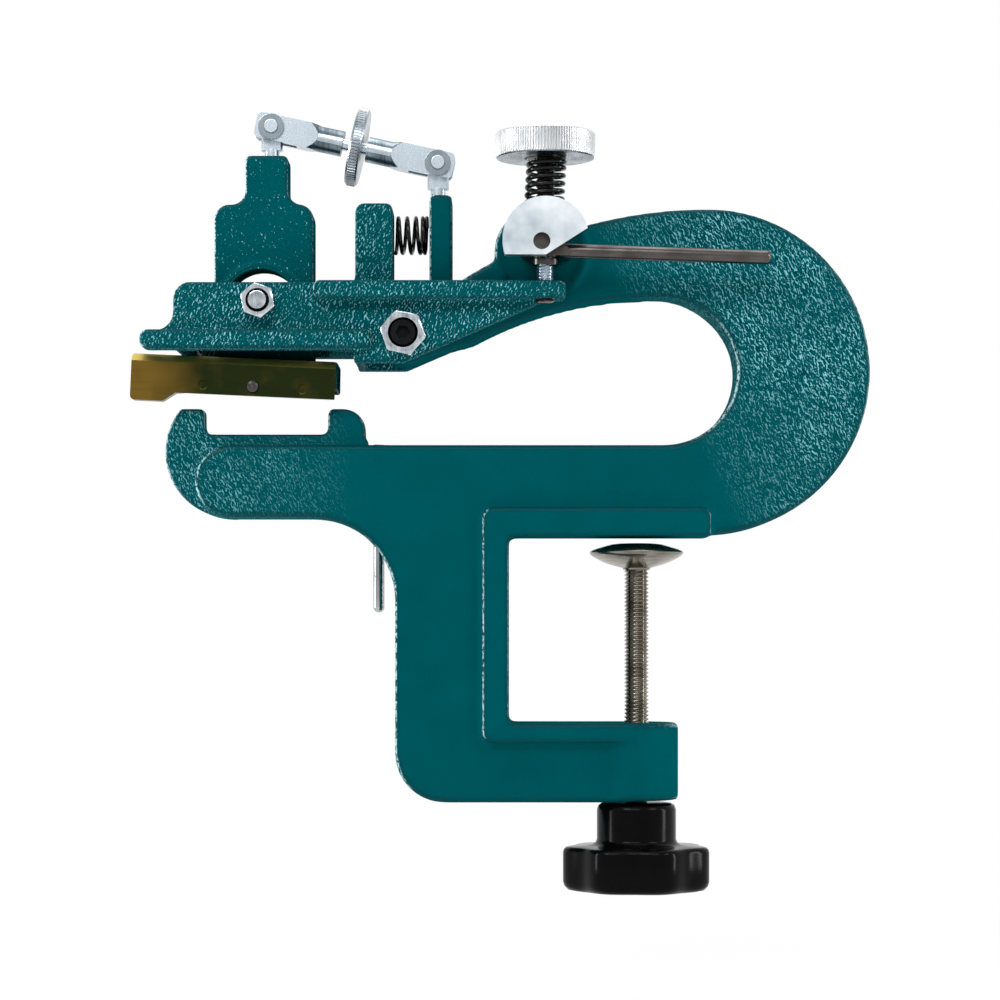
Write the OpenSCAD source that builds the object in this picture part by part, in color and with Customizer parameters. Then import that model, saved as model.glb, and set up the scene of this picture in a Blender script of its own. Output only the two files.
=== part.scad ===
// Manual leather skiver: a bench-clamped C-frame with a rocking blade head.
// X runs along the arms, Y into the depth, Z up. The origin lies on the bench
// seat (underside of the clamp flange) at the axis of the clamp screw.

/* [Frame casting] */
// Thickness of the web that the C-frame is cast in
web_t = 22; // [18:0.5:26]
// Outer radius of the C back
back_r = 52.4; // [48:0.1:58]
// Distance of the C back's centre to the right of the clamp screw
back_x = 22.6; // [18:0.2:28]
// Height of the C back's centre over the bench seat
back_z = 53.2; // [50:0.2:60]
// Radius of the throat
throat_r = 23.65; // [18:0.05:26]
// Distance of the throat's centre to the right of the clamp screw
throat_x = 8.4; // [4:0.2:14]
// Radius of the long arc along the top of the upper arm
arm_top_r = 150; // [140:1:170]
// Radius of the long arc along the underside of the upper arm
arm_under_r = 122; // [116:1:130]
// Height of the lower arm's underside over the bench seat
arm_bottom_z = 6.1; // [4:0.1:9]
// Left end of the lower arm's front pad
pad_left_x = -143; // [-148:0.5:-138]
// Radius of the fillet between the lower arm and the column
column_fillet_r = 27; // [18:0.5:32]

/* [Bench clamp] */
// Height of the clamp opening
clamp_gap = 60.3; // [45:0.1:64]
// Depth of the clamp opening to the left of the screw
clamp_throat = 41.6; // [32:0.1:46]
// Width over the ribs round the clamp opening
rib_w = 28; // [26:0.5:32]
// Thickness of the seat flange
seat_t = 9.4; // [7:0.1:12]
// Reach of the seat flange to the right of the screw
seat_reach = 23.5; // [18:0.5:30]
// Width of the upright rib
rib_t = 8.7; // [6:0.1:11]
// Height of the lower jaw
jaw_h = 25.2; // [20:0.1:30]
// Radius of the screw boss at the end of the lower jaw
jaw_boss_r = 13.6; // [11:0.1:14]
// Distance of the column's left side from the clamp screw
column_x = -78.4; // [-86:0.2:-72]
// Radius of the column's bottom corner
column_corner_r = 16; // [8:0.5:20]
// Diameter of the clamp screw
screw_d = 8; // [6:0.5:10]
// Diameter of the swivel pad
pad_d = 30.6; // [24:0.2:36]
// Height of the swivel pad
pad_h = 8.5; // [7:0.1:12]
// Gap left over the pad when the clamp is closed
pad_gap = 2.1; // [2.1:0.1:3]
// Diameter over the star knob's lobes
star_d = 47; // [40:0.5:56]
// Number of lobes on the star knob
star_lobes = 7; // [5:1:9]
// Height of the star knob's lobed grip
star_h = 14.5; // [10:0.5:18]
// Diameter of the star knob's hub
star_hub_d = 25.3; // [20:0.1:28]
// Height of the star knob's hub
star_hub_h = 14.2; // [10:0.1:18]

/* [Roller] */
// Radius of the rounded left end of the roller saddle
saddle_r = 21.5; // [18:0.1:23]
// Height of the roller ears over the bench seat
ear_top_z = 41.4; // [38:0.1:44]
// Height of the saddle floor between the ears
saddle_floor_z = 33.2; // [31:0.1:35]
// Inner face of the left ear
ear_left_x = -140; // [-143:0.1:-138]
// Inner face of the right ear
ear_right_x = -100.3; // [-102:0.1:-98]
// Thickness of the right ear
ear_t = 12.2; // [9:0.1:14]
// Distance of the crank axis behind the middle of the web
crank_y = 17; // [16.5:0.1:20]
// Height of the crank axis over the bench seat
crank_z = 26.8; // [25:0.1:28]
// Throw of the roller cranks
crank_throw = 13; // [10:0.1:13.5]
// Angle of the lowered cranks behind straight down
crank_rest = 40; // [30:1:50]
// Diameter of the feed roller
roller_d = 13; // [10:0.1:14]
// Diameter of the roller pin
roller_pin_d = 5; // [4:0.1:6]
// Length of the roller lever below the crank axis
roller_lever_l = 51.2; // [40:0.1:70]
// Diameter of the roller lever
roller_lever_d = 3.7; // [3:0.1:5]

/* [Rocking head] */
// Head pivot, left of the clamp screw
head_x = -75.4; // [-77:0.05:-74]
// Head pivot, over the bench seat
head_z = 64.4; // [63.5:0.02:65.5]
// Diameter of the head pivot screw
pivot_d = 8; // [6:0.5:9]
// Width across flats of the head pivot's nut
pivot_nut_af = 13; // [11:0.5:14]
// Thickness of each cheek of the head
cheek_t = 6.6; // [5:0.1:8]
// Left end of the head's front plate
plate_left_x = -149.3; // [-153:0.1:-147]
// Left end of the head's bottom flange
sole_left_x = -159.9; // [-165:0.1:-157]
// Height of the bottom flange's underside
sole_z = 59.7; // [59.2:0.1:61]
// Thickness of the bottom flange
sole_t = 6; // [5:0.1:7]
// How far the bottom flange stands in front of the plate
sole_lip = 3.5; // [2:0.1:5]
// Height of the head's top face
head_top_z = 81.2; // [80:0.1:82.5]
// Thickness of the tail flange
tail_t = 5.7; // [4.5:0.1:6.5]
// How far the tail flange stands in front of the cheek
tail_lip = 5; // [4:0.1:6]
// Right end of the tail flange
tail_x = -23.5; // [-25:0.1:-20]
// Height of the spring bracket's top
bracket_top_z = 107.8; // [104:0.1:110]
// Left side of the spring bracket
bracket_x = -91.4; // [-93:0.1:-89]
// Width of the spring bracket
bracket_w = 12.2; // [10:0.1:13]
// Left side of the link post on the frame
post_x = -67.4; // [-69:0.1:-66]
// Width of the link post
post_w = 7.4; // [7:0.1:8.4]
// Depth of the link post
post_d = 14; // [12:0.2:16]
// Height of the link post's top
post_top_z = 110.9; // [106:0.1:112]
// Outer diameter of the return spring
return_spring_d = 13; // [10:0.1:14]
// Height of the return spring's axis
return_spring_z = 98.4; // [95:0.1:100]

/* [Blade carrier] */
// Carrier hinge, left of the clamp screw
tilt_x = -121.8; // [-123:0.02:-121]
// Carrier hinge, over the bench seat
tilt_z = 74.8; // [74:0.01:75.5]
// Thickness of the carrier plate
carrier_t = 14; // [11:0.5:16]
// Width of the carrier's body
carrier_w = 32; // [28:0.1:34]
// Height of the carrier's shoulders
shoulder_z = 107.6; // [102:0.1:110]
// Width of the carrier's neck
neck_w = 13.75; // [11:0.05:16]
// Height of the carrier's neck
neck_top_z = 123.5; // [119:0.1:125]
// Diameter of the carrier hinge bolt
tilt_bolt_d = 6; // [5:0.5:7]
// Outer diameter of the carrier hinge bush
tilt_bush_d = 14; // [12:0.1:15]
// Tilt of the blade bed, right side down
blade_tilt = 2.6; // [0:0.1:3]
// Left end of the brass holder
holder_left_x = -162.1; // [-166:0.1:-158]
// Right end of the brass holder
holder_right_x = -96.3; // [-98:0.1:-95]
// Height of the brass holder's front face with its bevel
holder_h = 12.3; // [11:0.1:13]
// Thickness of the brass holder's front leg
holder_t = 4.8; // [4:0.1:6]
// Depth of the holder's foot below its lower edge
holder_foot = 2.8; // [1.5:0.1:3.2]
// Thickness of the skiving blade
blade_t = 1; // [0.6:0.1:1.4]
// Length of the skiving blade from its back to its edge
blade_l = 28.8; // [24:0.1:30]

/* [Tilt link] */
// Left link pin, left of the clamp screw
link_left_x = -118.8; // [-119.5:0.05:-118]
// Left link pin, over the bench seat
link_left_z = 133.25; // [132.5:0.01:134]
// Right link pin, left of the clamp screw
link_right_x = -64.7; // [-65.5:0.01:-64.2]
// Right link pin, over the bench seat
link_right_z = 121.5; // [121:0.02:122.5]
// Width of the square fork heads
fork_w = 8.3; // [7:0.1:9]
// Length of a fork from its pin to the end of its neck
fork_l = 23.6; // [21:0.1:24]
// Diameter of the link pins
link_pin_d = 4.4; // [3.5:0.1:5]
// Diameter of the tilt wheel
wheel_d = 25.7; // [20:0.1:30]
// Thickness of the tilt wheel
wheel_t = 3.8; // [3:0.1:5]
// Distance of the tilt wheel from the right fork
wheel_gap = 1.3; // [0.5:0.1:2]
// Diameter of the tilt wheel's threaded stud
wheel_stud_d = 4; // [3:0.1:4.4]

/* [Height adjuster and cam] */
// Cam axis, left of the clamp screw
cam_x = -30; // [-31:0.1:-29]
// Cam axis, over the bench seat
cam_z = 93; // [92:0.01:95]
// Diameter of the cam's front disc
cam_disc_d = 27.4; // [26:0.1:29]
// Distance of the disc's lower flat from the cam axis
cam_flat = 4.8; // [4.6:0.1:5.6]
// Lift of the eccentric lobes over the lever's travel
cam_lift = 2.8; // [2.4:0.1:3]
// Travel of the cam lever
cam_travel = 45; // [35:1:45]
// Diameter of the cam's journal in the frame
cam_journal_d = 11; // [9:0.5:12]
// Length of the cam lever rod outside the cam
cam_lever_l = 62.9; // [50:0.1:80]
// Diameter of the cam lever rod
cam_lever_d = 4.3; // [3.6:0.1:4.4]
// Diameter of the height knob
knob_d = 32; // [28:0.1:36]
// Thickness of the height knob
knob_t = 7.5; // [5:0.1:9]
// Height of the height knob's underside
knob_z = 121.5; // [119:0.1:125]
// Diameter of the height stud
stud_d = 6; // [5:0.1:6]
// Outer diameter of the height spring
height_spring_d = 13; // [11:0.1:14]

/* [Springs and fits] */
// Diameter of the spring wire
wire_d = 1.5; // [1:0.1:1.6]
// Turns of the return spring
return_turns = 4; // [3:1:4]
// Turns of the height spring
height_turns = 6; // [4:1:6]
// Radial clearance of pins and shafts
fit = 0.05; // [0.02:0.01:0.1]
// Gap between faces that slide past each other
run_gap = 0.4; // [0.3:0.05:0.6]

/* [Hidden] */
$fn = 96;
web_y = web_t / 2;
// frame outline
throat_z = back_z - 0.05;
arm_top_z = throat_z - throat_r;
arm_h = arm_top_z - arm_bottom_z;
arm_under_x = 5;
arm_under_z = throat_z + throat_r - 0.2 - arm_under_r;
post_right_x = post_x + post_w;
shoulder_x = post_right_x + 2.3;
tongue_r = 8.8;
cheek_in = web_y + run_gap;
cheek_out = cheek_in + cheek_t;
jaw_top_z = -clamp_gap;
jaw_bottom_z = jaw_top_z - jaw_h;
column_bottom_z = jaw_bottom_z - 0.5;
star_top_z = column_bottom_z - run_gap;
screw_low_z = star_top_z - star_hub_h - star_h + 4;
pad_cover = 3.5;
rib_left_x = -clamp_throat - rib_t;
lower_rib_t = 6.5;
saddle_front_y = 4 - web_y;
saddle_c = [ear_left_x + 8.4, 27.5];
ear_out_x = ear_right_x + ear_t;
lug_rear_y = crank_y + 6.5;
lug_low_z = crank_z - 6.5;
// roller and cranks
journal_d = 7;
crank_t = 2.5;
crank_left_x = ear_left_x + run_gap;
crank_right_x = ear_right_x - run_gap;
roller_left_x = crank_left_x + crank_t + run_gap;
roller_right_x = crank_right_x - crank_t - run_gap;
roller_y = crank_y + crank_throw * sin(crank_rest);
roller_z = crank_z - crank_throw * cos(crank_rest);
lever_hub_l = 6;
lever_x = ear_out_x + run_gap + lever_hub_l / 2;
// rocking head
sole_right_x = bracket_x + 6.3;
bracket_front_y = -9;
bracket_rear_y = 8;
plate_corner_r = 5.5;
tail_end_r = 4.5;
sole_end_r = 3.3;
// blade carrier, in the bed's own untilted lines
bed_top_z = sole_z - 2.2;
bed_rear_y = 12;
tilt_nut_af = 10;
bore_slot_r = 10.3;
shoulder_r = 4.6;
holder_drop = 30;
holder_low_z = tilt_z - holder_drop;
lip_t = 2.5;
blade_z = holder_low_z + lip_t + 0.05;
bed_low_z = blade_z + blade_t + 0.05;
holder_top_z = holder_low_z + holder_h;
bed_front_y = -9.2;
holder_front_y = bed_front_y - holder_t;
blade_back_y = bed_front_y;
bed_left_x = -148;
bed_right_x = -96;
// tilt link
link_dx = link_right_x - link_left_x;
link_dz = link_left_z - link_right_z;
link_l = sqrt(link_dx * link_dx + link_dz * link_dz);
link_slope = atan2(link_dz, link_dx);
fork_slot = 4.4;
eye_t = fork_slot - run_gap;
eye_play = 0.5;
fork_block_l = 15.5;
fork_cone_l = 3.7;
wheel_u = fork_l + wheel_gap + wheel_t / 2;
// height adjuster and cam
stud_y = -cheek_out - tail_lip + 4.8;
tail_low_z = head_top_z - tail_t;
lobe_e = cam_lift / (2 * sin(cam_travel / 2));
lobe_r = cam_flat + cam_lift / 2;
lobe_rest = 180 - cam_travel / 2;
window_y = stud_d / 2 + 0.8;
lobe_rear_y = -web_y - run_gap;
lobe_front_y = stud_y - window_y - 4.2;
disc_t = 5;
disc_cut = 4.1;
cam_boss_r = 15.3;
lever_rod_x = 5;
lever_rod_y = lobe_front_y + 2;
lever_rod_z = -2.7;
lever_droop = 2;
head_swing = atan(cam_lift / (cam_x - lobe_e * cos(cam_travel / 2) - head_x));
washer_z = cam_z - cam_flat + 2 * lobe_r + 0.1;
washer_t = 1.2;
washer_neck_h = 2.8;
cap_t = 1;
spring_seat_z = washer_z + washer_neck_h + washer_t;
collar_top_z = cam_z - cam_flat - 0.1;
collar_h = 1.8;
collar_d = stud_d + 2.8;

// Shared shapes

// A profile drawn in X and Z, as a plate between two depths
module plate(y0, y1) {
    translate([0, y1, 0])
        rotate([90, 0, 0])
            linear_extrude(y1 - y0)
                children();
}

// A profile drawn in Y and Z, as a bar between two places along X
module bar(x0, x1) {
    translate([x0, 0, 0])
        rotate([90, 0, 90])
            linear_extrude(x1 - x0)
                children();
}

// A rectangle from corner to corner with its own radius at each corner:
// lower left, lower right, upper right, upper left
module soft_rect(x0, z0, x1, z1, r) {
    difference() {
        translate([x0, z0])
            square([x1 - x0, z1 - z0]);
        corner_cut(x0, z0, 1, 1, r[0]);
        corner_cut(x1, z0, -1, 1, r[1]);
        corner_cut(x1, z1, -1, -1, r[2]);
        corner_cut(x0, z1, 1, -1, r[3]);
    }
}

// What a rounded corner takes away; the signs point into the material
module corner_cut(x, z, sx, sz, r) {
    if (r > 0)
        difference() {
            translate([x + sx * (r - 1) / 2, z + sz * (r - 1) / 2])
                square(r + 1, center = true);
            translate([x + sx * r, z + sz * r])
                circle(r);
        }
}

// What a fillet adds in an inner corner; the signs point out of the material
module fillet(x, z, sx, sz, r) {
    difference() {
        translate([x + sx * (r - 0.2) / 2, z + sz * (r - 0.2) / 2])
            square(r + 0.2, center = true);
        translate([x + sx * r, z + sz * r])
            circle(r);
    }
}

// What a rounded upright edge takes away between two heights
module edge_cut(x, y, sx, sy, z0, z1, r) {
    translate([0, 0, z0])
        linear_extrude(z1 - z0)
            corner_cut(x, y, sx, sy, r);
}

// A cylinder along Y
module shaft_y(x, z, r, y0, y1) {
    translate([x, y1, z])
        rotate([90, 0, 0])
            cylinder(r = r, h = y1 - y0);
}

// A cylinder along X
module shaft_x(y, z, r, x0, x1) {
    translate([x0, y, z])
        rotate([0, 90, 0])
            cylinder(r = r, h = x1 - x0);
}

// A hexagon along Y with a flat side up
module hex_y(x, z, af, y0, y1, turn) {
    translate([x, y1, z])
        rotate([90, turn, 0])
            cylinder(d = af / cos(30), h = y1 - y0, $fn = 6);
}

// Frame

function under_z(x) = arm_under_z + sqrt(arm_under_r * arm_under_r - pow(x - arm_under_x, 2));

// The straight chin between the tongue and the arm's long lower arc
chin_x = shoulder_x + 4;
chin_low = [head_x, head_z - tongue_r + 0.4];
chin_run = [chin_x, under_z(chin_x)] - chin_low;

// What is open below the chin
module chin_cut() {
    left = chin_low + 0.1 * chin_run;
    right = chin_low + 1.3 * chin_run;
    polygon([left, right, [right[0], left[1] - tongue_r], [left[0], left[1] - tongue_r]]);
}

module upper_arm() {
    difference() {
        union() {
            polygon([[head_x, head_z + tongue_r - 0.05], [chin_x + 3, head_z + tongue_r - 0.05],
                [chin_x + 3, chin_low[1] + chin_run[1] - 1], chin_low]);
            intersection() {
                translate([back_x, back_z + back_r - arm_top_r])
                    circle(arm_top_r, $fn = 360);
                translate([shoulder_x, throat_z])
                    square([back_x - shoulder_x, back_r]);
            }
            translate([cam_x - 1, cam_z - 1.5])
                circle(cam_boss_r);
        }
        intersection() {
            translate([arm_under_x, arm_under_z])
                circle(arm_under_r, $fn = 360);
            translate([shoulder_x - 1, 0])
                square([throat_x - shoulder_x + 1, throat_z + throat_r + 1]);
        }
        translate([throat_x, throat_z])
            circle(throat_r);
        chin_cut();
    }
    // round end that carries the head's pivot
    translate([head_x, head_z])
        circle(tongue_r);
}

module back() {
    difference() {
        translate([back_x, back_z])
            circle(back_r, $fn = 180);
        translate([throat_x, throat_z])
            circle(throat_r);
        translate([throat_x - back_r, arm_top_z])
            square([back_r, 2 * back_r]);
    }
}

module lower_arm() {
    translate([pad_left_x + arm_h / 2, arm_bottom_z + arm_h / 2])
        circle(arm_h / 2);
    translate([pad_left_x + arm_h / 2, arm_bottom_z])
        square([back_x - pad_left_x - arm_h / 2, arm_h]);
    fillet(column_x, arm_bottom_z, -1, -1, column_fillet_r);
}

module column() {
    soft_rect(column_x, column_bottom_z, -clamp_throat, arm_bottom_z + 1, [column_corner_r, 0, 0, 0]);
    soft_rect(column_x + column_corner_r, column_bottom_z, 0, jaw_top_z, [0, 4, 0, 0]);
}

module clamp_rib() {
    difference() {
        soft_rect(rib_left_x, jaw_top_z - lower_rib_t, seat_reach, seat_t, [4, 0, 3, 4]);
        soft_rect(-clamp_throat, jaw_top_z, seat_reach + 1, 0, [1.5, 0, 0, 1.5]);
        translate([0, jaw_top_z - lower_rib_t - 1])
            square([seat_reach + 1, lower_rib_t + 2]);
    }
}

module saddle_end() {
    intersection() {
        translate(saddle_c)
            circle(saddle_r);
        soft_rect(saddle_c[0] - saddle_r - 1, saddle_c[1] - saddle_r - 1, ear_left_x, ear_top_z,
            [0, 0, 1.5, 4]);
    }
}

module saddle() {
    saddle_end();
    intersection() {
        translate(saddle_c)
            circle(saddle_r);
        translate([ear_left_x - 1, 0])
            square([saddle_c[0] - ear_left_x + 1, saddle_floor_z]);
    }
    translate([saddle_c[0] - 0.5, arm_bottom_z])
        square([ear_out_x - saddle_c[0] + 0.5, saddle_floor_z - arm_bottom_z]);
    soft_rect(ear_right_x, arm_bottom_z, ear_out_x, ear_top_z, [0, 0, 7, 1.5]);
}

// The saddle without the part of its ears over the floor
module saddle_base() {
    intersection() {
        saddle();
        translate([saddle_c[0] - saddle_r - 1, 0])
            square([ear_out_x - saddle_c[0] + saddle_r + 2, saddle_floor_z]);
    }
}

// Below the floor the ears reach back past the web to carry the roller cranks
module ear_side() {
    soft_rect(saddle_front_y, lug_low_z, lug_rear_y, saddle_floor_z, [0, 6, 6, 0]);
}

module ears() {
    intersection() {
        plate(saddle_front_y, lug_rear_y)
            union() {
                saddle_end();
                soft_rect(ear_right_x, lug_low_z, ear_out_x, ear_top_z, [0, 0, 7, 1.5]);
            }
        bar(saddle_c[0] - saddle_r - 1, ear_out_x + 1)
            ear_side();
    }
}

module link_post() {
    soft_rect(post_x, head_z, post_right_x, post_top_z, [0, 0, 1.5, 1.5]);
    fillet(post_right_x, head_z + tongue_r, 1, 1, 2);
}

module c_frame() {
    color("#0b5f60")
    difference() {
        union() {
            plate(-web_y, web_y) {
                back();
                upper_arm();
                lower_arm();
                column();
            }
            plate(-rib_w / 2, rib_w / 2)
                clamp_rib();
            translate([0, 0, jaw_bottom_z])
                cylinder(r = jaw_boss_r, h = jaw_h);
            plate(saddle_front_y, 0)
                saddle();
            plate(saddle_front_y, web_y)
                saddle_base();
            ears();
            plate(-post_d / 2, post_d / 2)
                link_post();
        }
        translate([0, 0, jaw_bottom_z - 2])
            cylinder(d = screw_d + 2 * fit, h = jaw_h + 4);
        shaft_y(cam_x, cam_z, cam_journal_d / 2 + fit, -web_y - 1, web_y + 1);
        shaft_y(head_x, head_z, pivot_d / 2 + fit, -web_y - 1, web_y + 1);
        shaft_x(crank_y, crank_z, journal_d / 2 + fit, ear_left_x - 10, ear_left_x + 1);
        shaft_x(crank_y, crank_z, journal_d / 2 + fit, ear_right_x - 1, ear_out_x + 1);
        translate([link_right_x, 0, post_top_z - 8])
            cylinder(d = 4, h = 9);
    }
}

// Bench clamp

module clamp_screw() {
    color("#a8a49c")
    translate([0, 0, screw_low_z])
        cylinder(d = screw_d, h = -pad_gap - pad_cover - fit - screw_low_z);
}

module clamp_pad() {
    color("#b3ada2")
    difference() {
        translate([0, 0, -pad_gap - pad_h])
            rotate_extrude()
                difference() {
                    polygon([[0, 0], [6, 0], [6.6, 2.2], [9.5, 4.2], [pad_d / 2 - 0.6, 5.1],
                        [pad_d / 2, 5.6], [pad_d / 2 - 1, 6.4], [11, pad_h - 0.6], [7, pad_h], [0, pad_h]]);
                    translate([0, -1])
                        square([screw_d / 2 + fit, pad_h - pad_cover + 1]);
                }
    }
}

module star_profile() {
    lobe_rad = 6;
    circle(star_d / 2 - 4);
    for (i = [0 : star_lobes - 1])
        rotate(360 / star_lobes * (i + 0.25))
            translate([star_d / 2 - lobe_rad, 0])
                circle(lobe_rad);
}

module star_knob() {
    color("#141416")
    difference() {
        union() {
            translate([0, 0, star_top_z - star_hub_h])
                rotate_extrude()
                    polygon([[0, 0], [star_hub_d / 2, 0], [star_hub_d / 2, star_hub_h - 2],
                        [star_hub_d / 2 - 2, star_hub_h], [0, star_hub_h]]);
            intersection() {
                translate([0, 0, star_top_z - star_hub_h - star_h])
                    linear_extrude(star_h)
                        star_profile();
                translate([0, 0, star_top_z - star_hub_h - star_h])
                    rotate_extrude()
                        polygon([[0, 0], [star_d / 2 - 4, 0], [star_d / 2, 2.5],
                            [star_d / 2, star_h - 3], [star_d / 2 - 5, star_h], [0, star_h]]);
            }
        }
        translate([0, 0, screw_low_z])
            cylinder(d = screw_d, h = star_hub_h + star_h);
    }
}

// Roller

module crank_arm() {
    translate([crank_y, crank_z])
        circle(5);
    translate([roller_y, roller_z])
        circle(4.5);
    translate([crank_y, crank_z])
        rotate(crank_rest - 90)
            translate([0, -4.5])
                square([crank_throw, 9]);
}

module roller_crank_left() {
    color("#9a9a98")
    difference() {
        union() {
            bar(crank_left_x, crank_left_x + crank_t)
                crank_arm();
            shaft_x(crank_y, crank_z, journal_d / 2, ear_left_x - 9.5, crank_left_x + 1);
        }
        shaft_x(roller_y, roller_z, roller_pin_d / 2, crank_left_x - 1, crank_left_x + crank_t + 1);
    }
}

module roller_crank_right() {
    color("#9a9a98")
    difference() {
        union() {
            bar(crank_right_x - crank_t, crank_right_x)
                crank_arm();
            shaft_x(crank_y, crank_z, journal_d / 2, crank_right_x - 1, lever_x);
            shaft_x(crank_y, crank_z, 4.5, ear_out_x + run_gap, ear_out_x + run_gap + lever_hub_l);
        }
        shaft_x(roller_y, roller_z, roller_pin_d / 2, crank_right_x - crank_t - 1, crank_right_x + 1);
        translate([lever_x, crank_y, crank_z - 6])
            cylinder(d = roller_lever_d, h = 12);
    }
}

module roller_pin() {
    color("#c8c8c6")
    shaft_x(roller_y, roller_z, roller_pin_d / 2, crank_left_x, crank_right_x);
}

module feed_roller() {
    color("#b8b8b4")
    translate([roller_left_x, roller_y, roller_z])
        rotate([0, 90, 0])
            rotate_extrude()
                polygon([[roller_pin_d / 2 + fit, 0], [roller_d / 2 - 0.8, 0], [roller_d / 2, 0.8],
                    [roller_d / 2, roller_right_x - roller_left_x - 0.8],
                    [roller_d / 2 - 0.8, roller_right_x - roller_left_x],
                    [roller_pin_d / 2 + fit, roller_right_x - roller_left_x]]);
}

module roller_lever() {
    color("#b4b2ae")
    translate([lever_x, crank_y, crank_z - roller_lever_l]) {
        translate([0, 0, roller_lever_d / 2])
            cylinder(d = roller_lever_d, h = roller_lever_l + 4.5 - roller_lever_d / 2);
        translate([0, 0, roller_lever_d / 2])
            sphere(d = roller_lever_d);
    }
}

// Rocking head

module front_plate() {
    soft_rect(plate_left_x, sole_z, bracket_x - 0.5, head_top_z, [0, 0, 0, plate_corner_r]);
    fillet(plate_left_x, sole_z + sole_t, -1, 1, 6);
}

module cheek_tail() {
    polygon([[bracket_x - 13, head_top_z],
        [tail_x, head_top_z],
        [tail_x, tail_low_z],
        [tail_x - 6, tail_low_z],
        [head_x, head_z - tongue_r - 0.1],
        [bracket_x, head_z - tongue_r - 0.1],
        [bracket_x, sole_z + 2],
        [bracket_x - 13, sole_z + 2]]);
}

module bracket_side() {
    soft_rect(bracket_x, tail_low_z, bracket_x + bracket_w, bracket_top_z, [0, 0, 2.2, 3]);
    fillet(bracket_x, head_top_z, -1, 1, 3);
    fillet(bracket_x + bracket_w, head_top_z, 1, 1, 3);
}

module rocker_arm() {
    color("#0c6566")
    difference() {
        union() {
            // front cheek with its two flanges
            plate(-cheek_out, -cheek_in) {
                front_plate();
                cheek_tail();
            }
            plate(-cheek_out - sole_lip, -cheek_in)
                soft_rect(sole_left_x, sole_z, sole_right_x, sole_z + sole_t, [2.5, 2, 2, 2.5]);
            plate(-cheek_out - tail_lip, -cheek_in)
                soft_rect(bracket_x - 12.7, tail_low_z, tail_x, head_top_z, [2, 1.5, 2, 2]);
            // rear cheek
            plate(cheek_in, cheek_out)
                difference() {
                    union() {
                        front_plate();
                        cheek_tail();
                    }
                    translate([shoulder_x - 4, sole_z - tongue_r])
                        square([tail_x - shoulder_x + 6, head_top_z - sole_z + 2 * tongue_r]);
                }
            // end wall and middle wall between the cheeks
            plate(-cheek_in - 1, cheek_in + 1) {
                soft_rect(plate_left_x, sole_z, plate_left_x + 7, head_top_z, [0, 0, 0, plate_corner_r]);
                soft_rect(bracket_x - 10.5, sole_z, bracket_x + 3, head_top_z, [3, 0, 0, 0]);
                soft_rect(bracket_x, head_z - tongue_r - 0.1, bracket_x + 3, head_top_z,
                    [1, 0, 0, 0]);
                soft_rect(bracket_x - 10.5, tail_low_z, bracket_x + bracket_w + 2, head_top_z,
                    [0, 1, 0, 0]);
            }
            // spring bracket
            plate(bracket_front_y, bracket_rear_y)
                bracket_side();
        }
        shaft_y(head_x, head_z, pivot_d / 2, -cheek_out - 1, cheek_out + 1);
        shaft_y(tilt_x, tilt_z, tilt_bolt_d / 2 + fit, -cheek_out - 1, cheek_out + 1);
        translate([cam_x, stud_y, tail_low_z - 8])
            cylinder(d = stud_d + 2 * fit, h = tail_t + 9);
        // room for the frame's tongue to turn in
        shaft_y(head_x, head_z, tongue_r + 1.2, -cheek_in, cheek_in);
        // flange ends, rounded as seen from above
        edge_cut(tail_x, -cheek_out - tail_lip, -1, 1, tail_low_z - 1, head_top_z + 1, tail_end_r);
        edge_cut(sole_right_x, -cheek_out - sole_lip, -1, 1, sole_z - 1, sole_z + sole_t + 1, sole_end_r);
        edge_cut(sole_left_x, -cheek_out - sole_lip, 1, 1, sole_z - 1, sole_z + sole_t + 1, sole_end_r);
    }
}

module pivot_screw() {
    color("#1c1c1e")
    difference() {
        shaft_y(head_x, head_z, pivot_d / 2, -cheek_out - 6, cheek_out);
        hex_y(head_x, head_z, 4, -cheek_out - 7, -cheek_out - 1, 0);
    }
}

module pivot_nut() {
    color("#b9bdc0")
    difference() {
        intersection() {
            hex_y(head_x, head_z, pivot_nut_af, -cheek_out - 6, -cheek_out, 12);
            translate([head_x, -cheek_out, head_z])
                rotate([90, 0, 0])
                    rotate_extrude()
                        polygon([[0, 0], [pivot_nut_af * 0.58, 0], [pivot_nut_af * 0.58, 4.9],
                            [pivot_nut_af * 0.48, 6], [0, 6]]);
        }
        shaft_y(head_x, head_z, pivot_d / 2, -cheek_out - 7, -cheek_out + 1);
    }
}

// Springs: one unbroken tube, wound from a formula

wire_sides = 6;
rings_per_turn = 8;

// Point on a spring's centre line; its ends run straight for one wire diameter
function coil_point(i, turns, r, l) =
    let (n = turns * rings_per_turn)
    i == 0 ? [r, 0, 0]
    : i == n + 2 ? [r, 0, l]
    : let (a = 360 * (i - 1) / rings_per_turn)
        [r * cos(a), r * sin(a), wire_d + (l - 2 * wire_d) * (i - 1) / n];

function unit(v) = v / norm(v);

function coil_run(i, turns, r, l) =
    i == 0 || i == turns * rings_per_turn + 2 ? [0, 0, 1]
    : unit(coil_point(i + 1, turns, r, l) - coil_point(i - 1, turns, r, l));

// One ring of the tube, square to the centre line there
function coil_ring(i, turns, r, l) =
    let (c = coil_point(i, turns, r, l))
    let (t = coil_run(i, turns, r, l))
    let (out = unit([c[0], c[1], 0]))
    let (u = unit(out - (out * t) * t))
    let (v = cross(t, u))
    [for (k = [0 : wire_sides - 1])
        c + wire_d / 2 * (cos(360 * k / wire_sides) * u + sin(360 * k / wire_sides) * v)];

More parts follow.
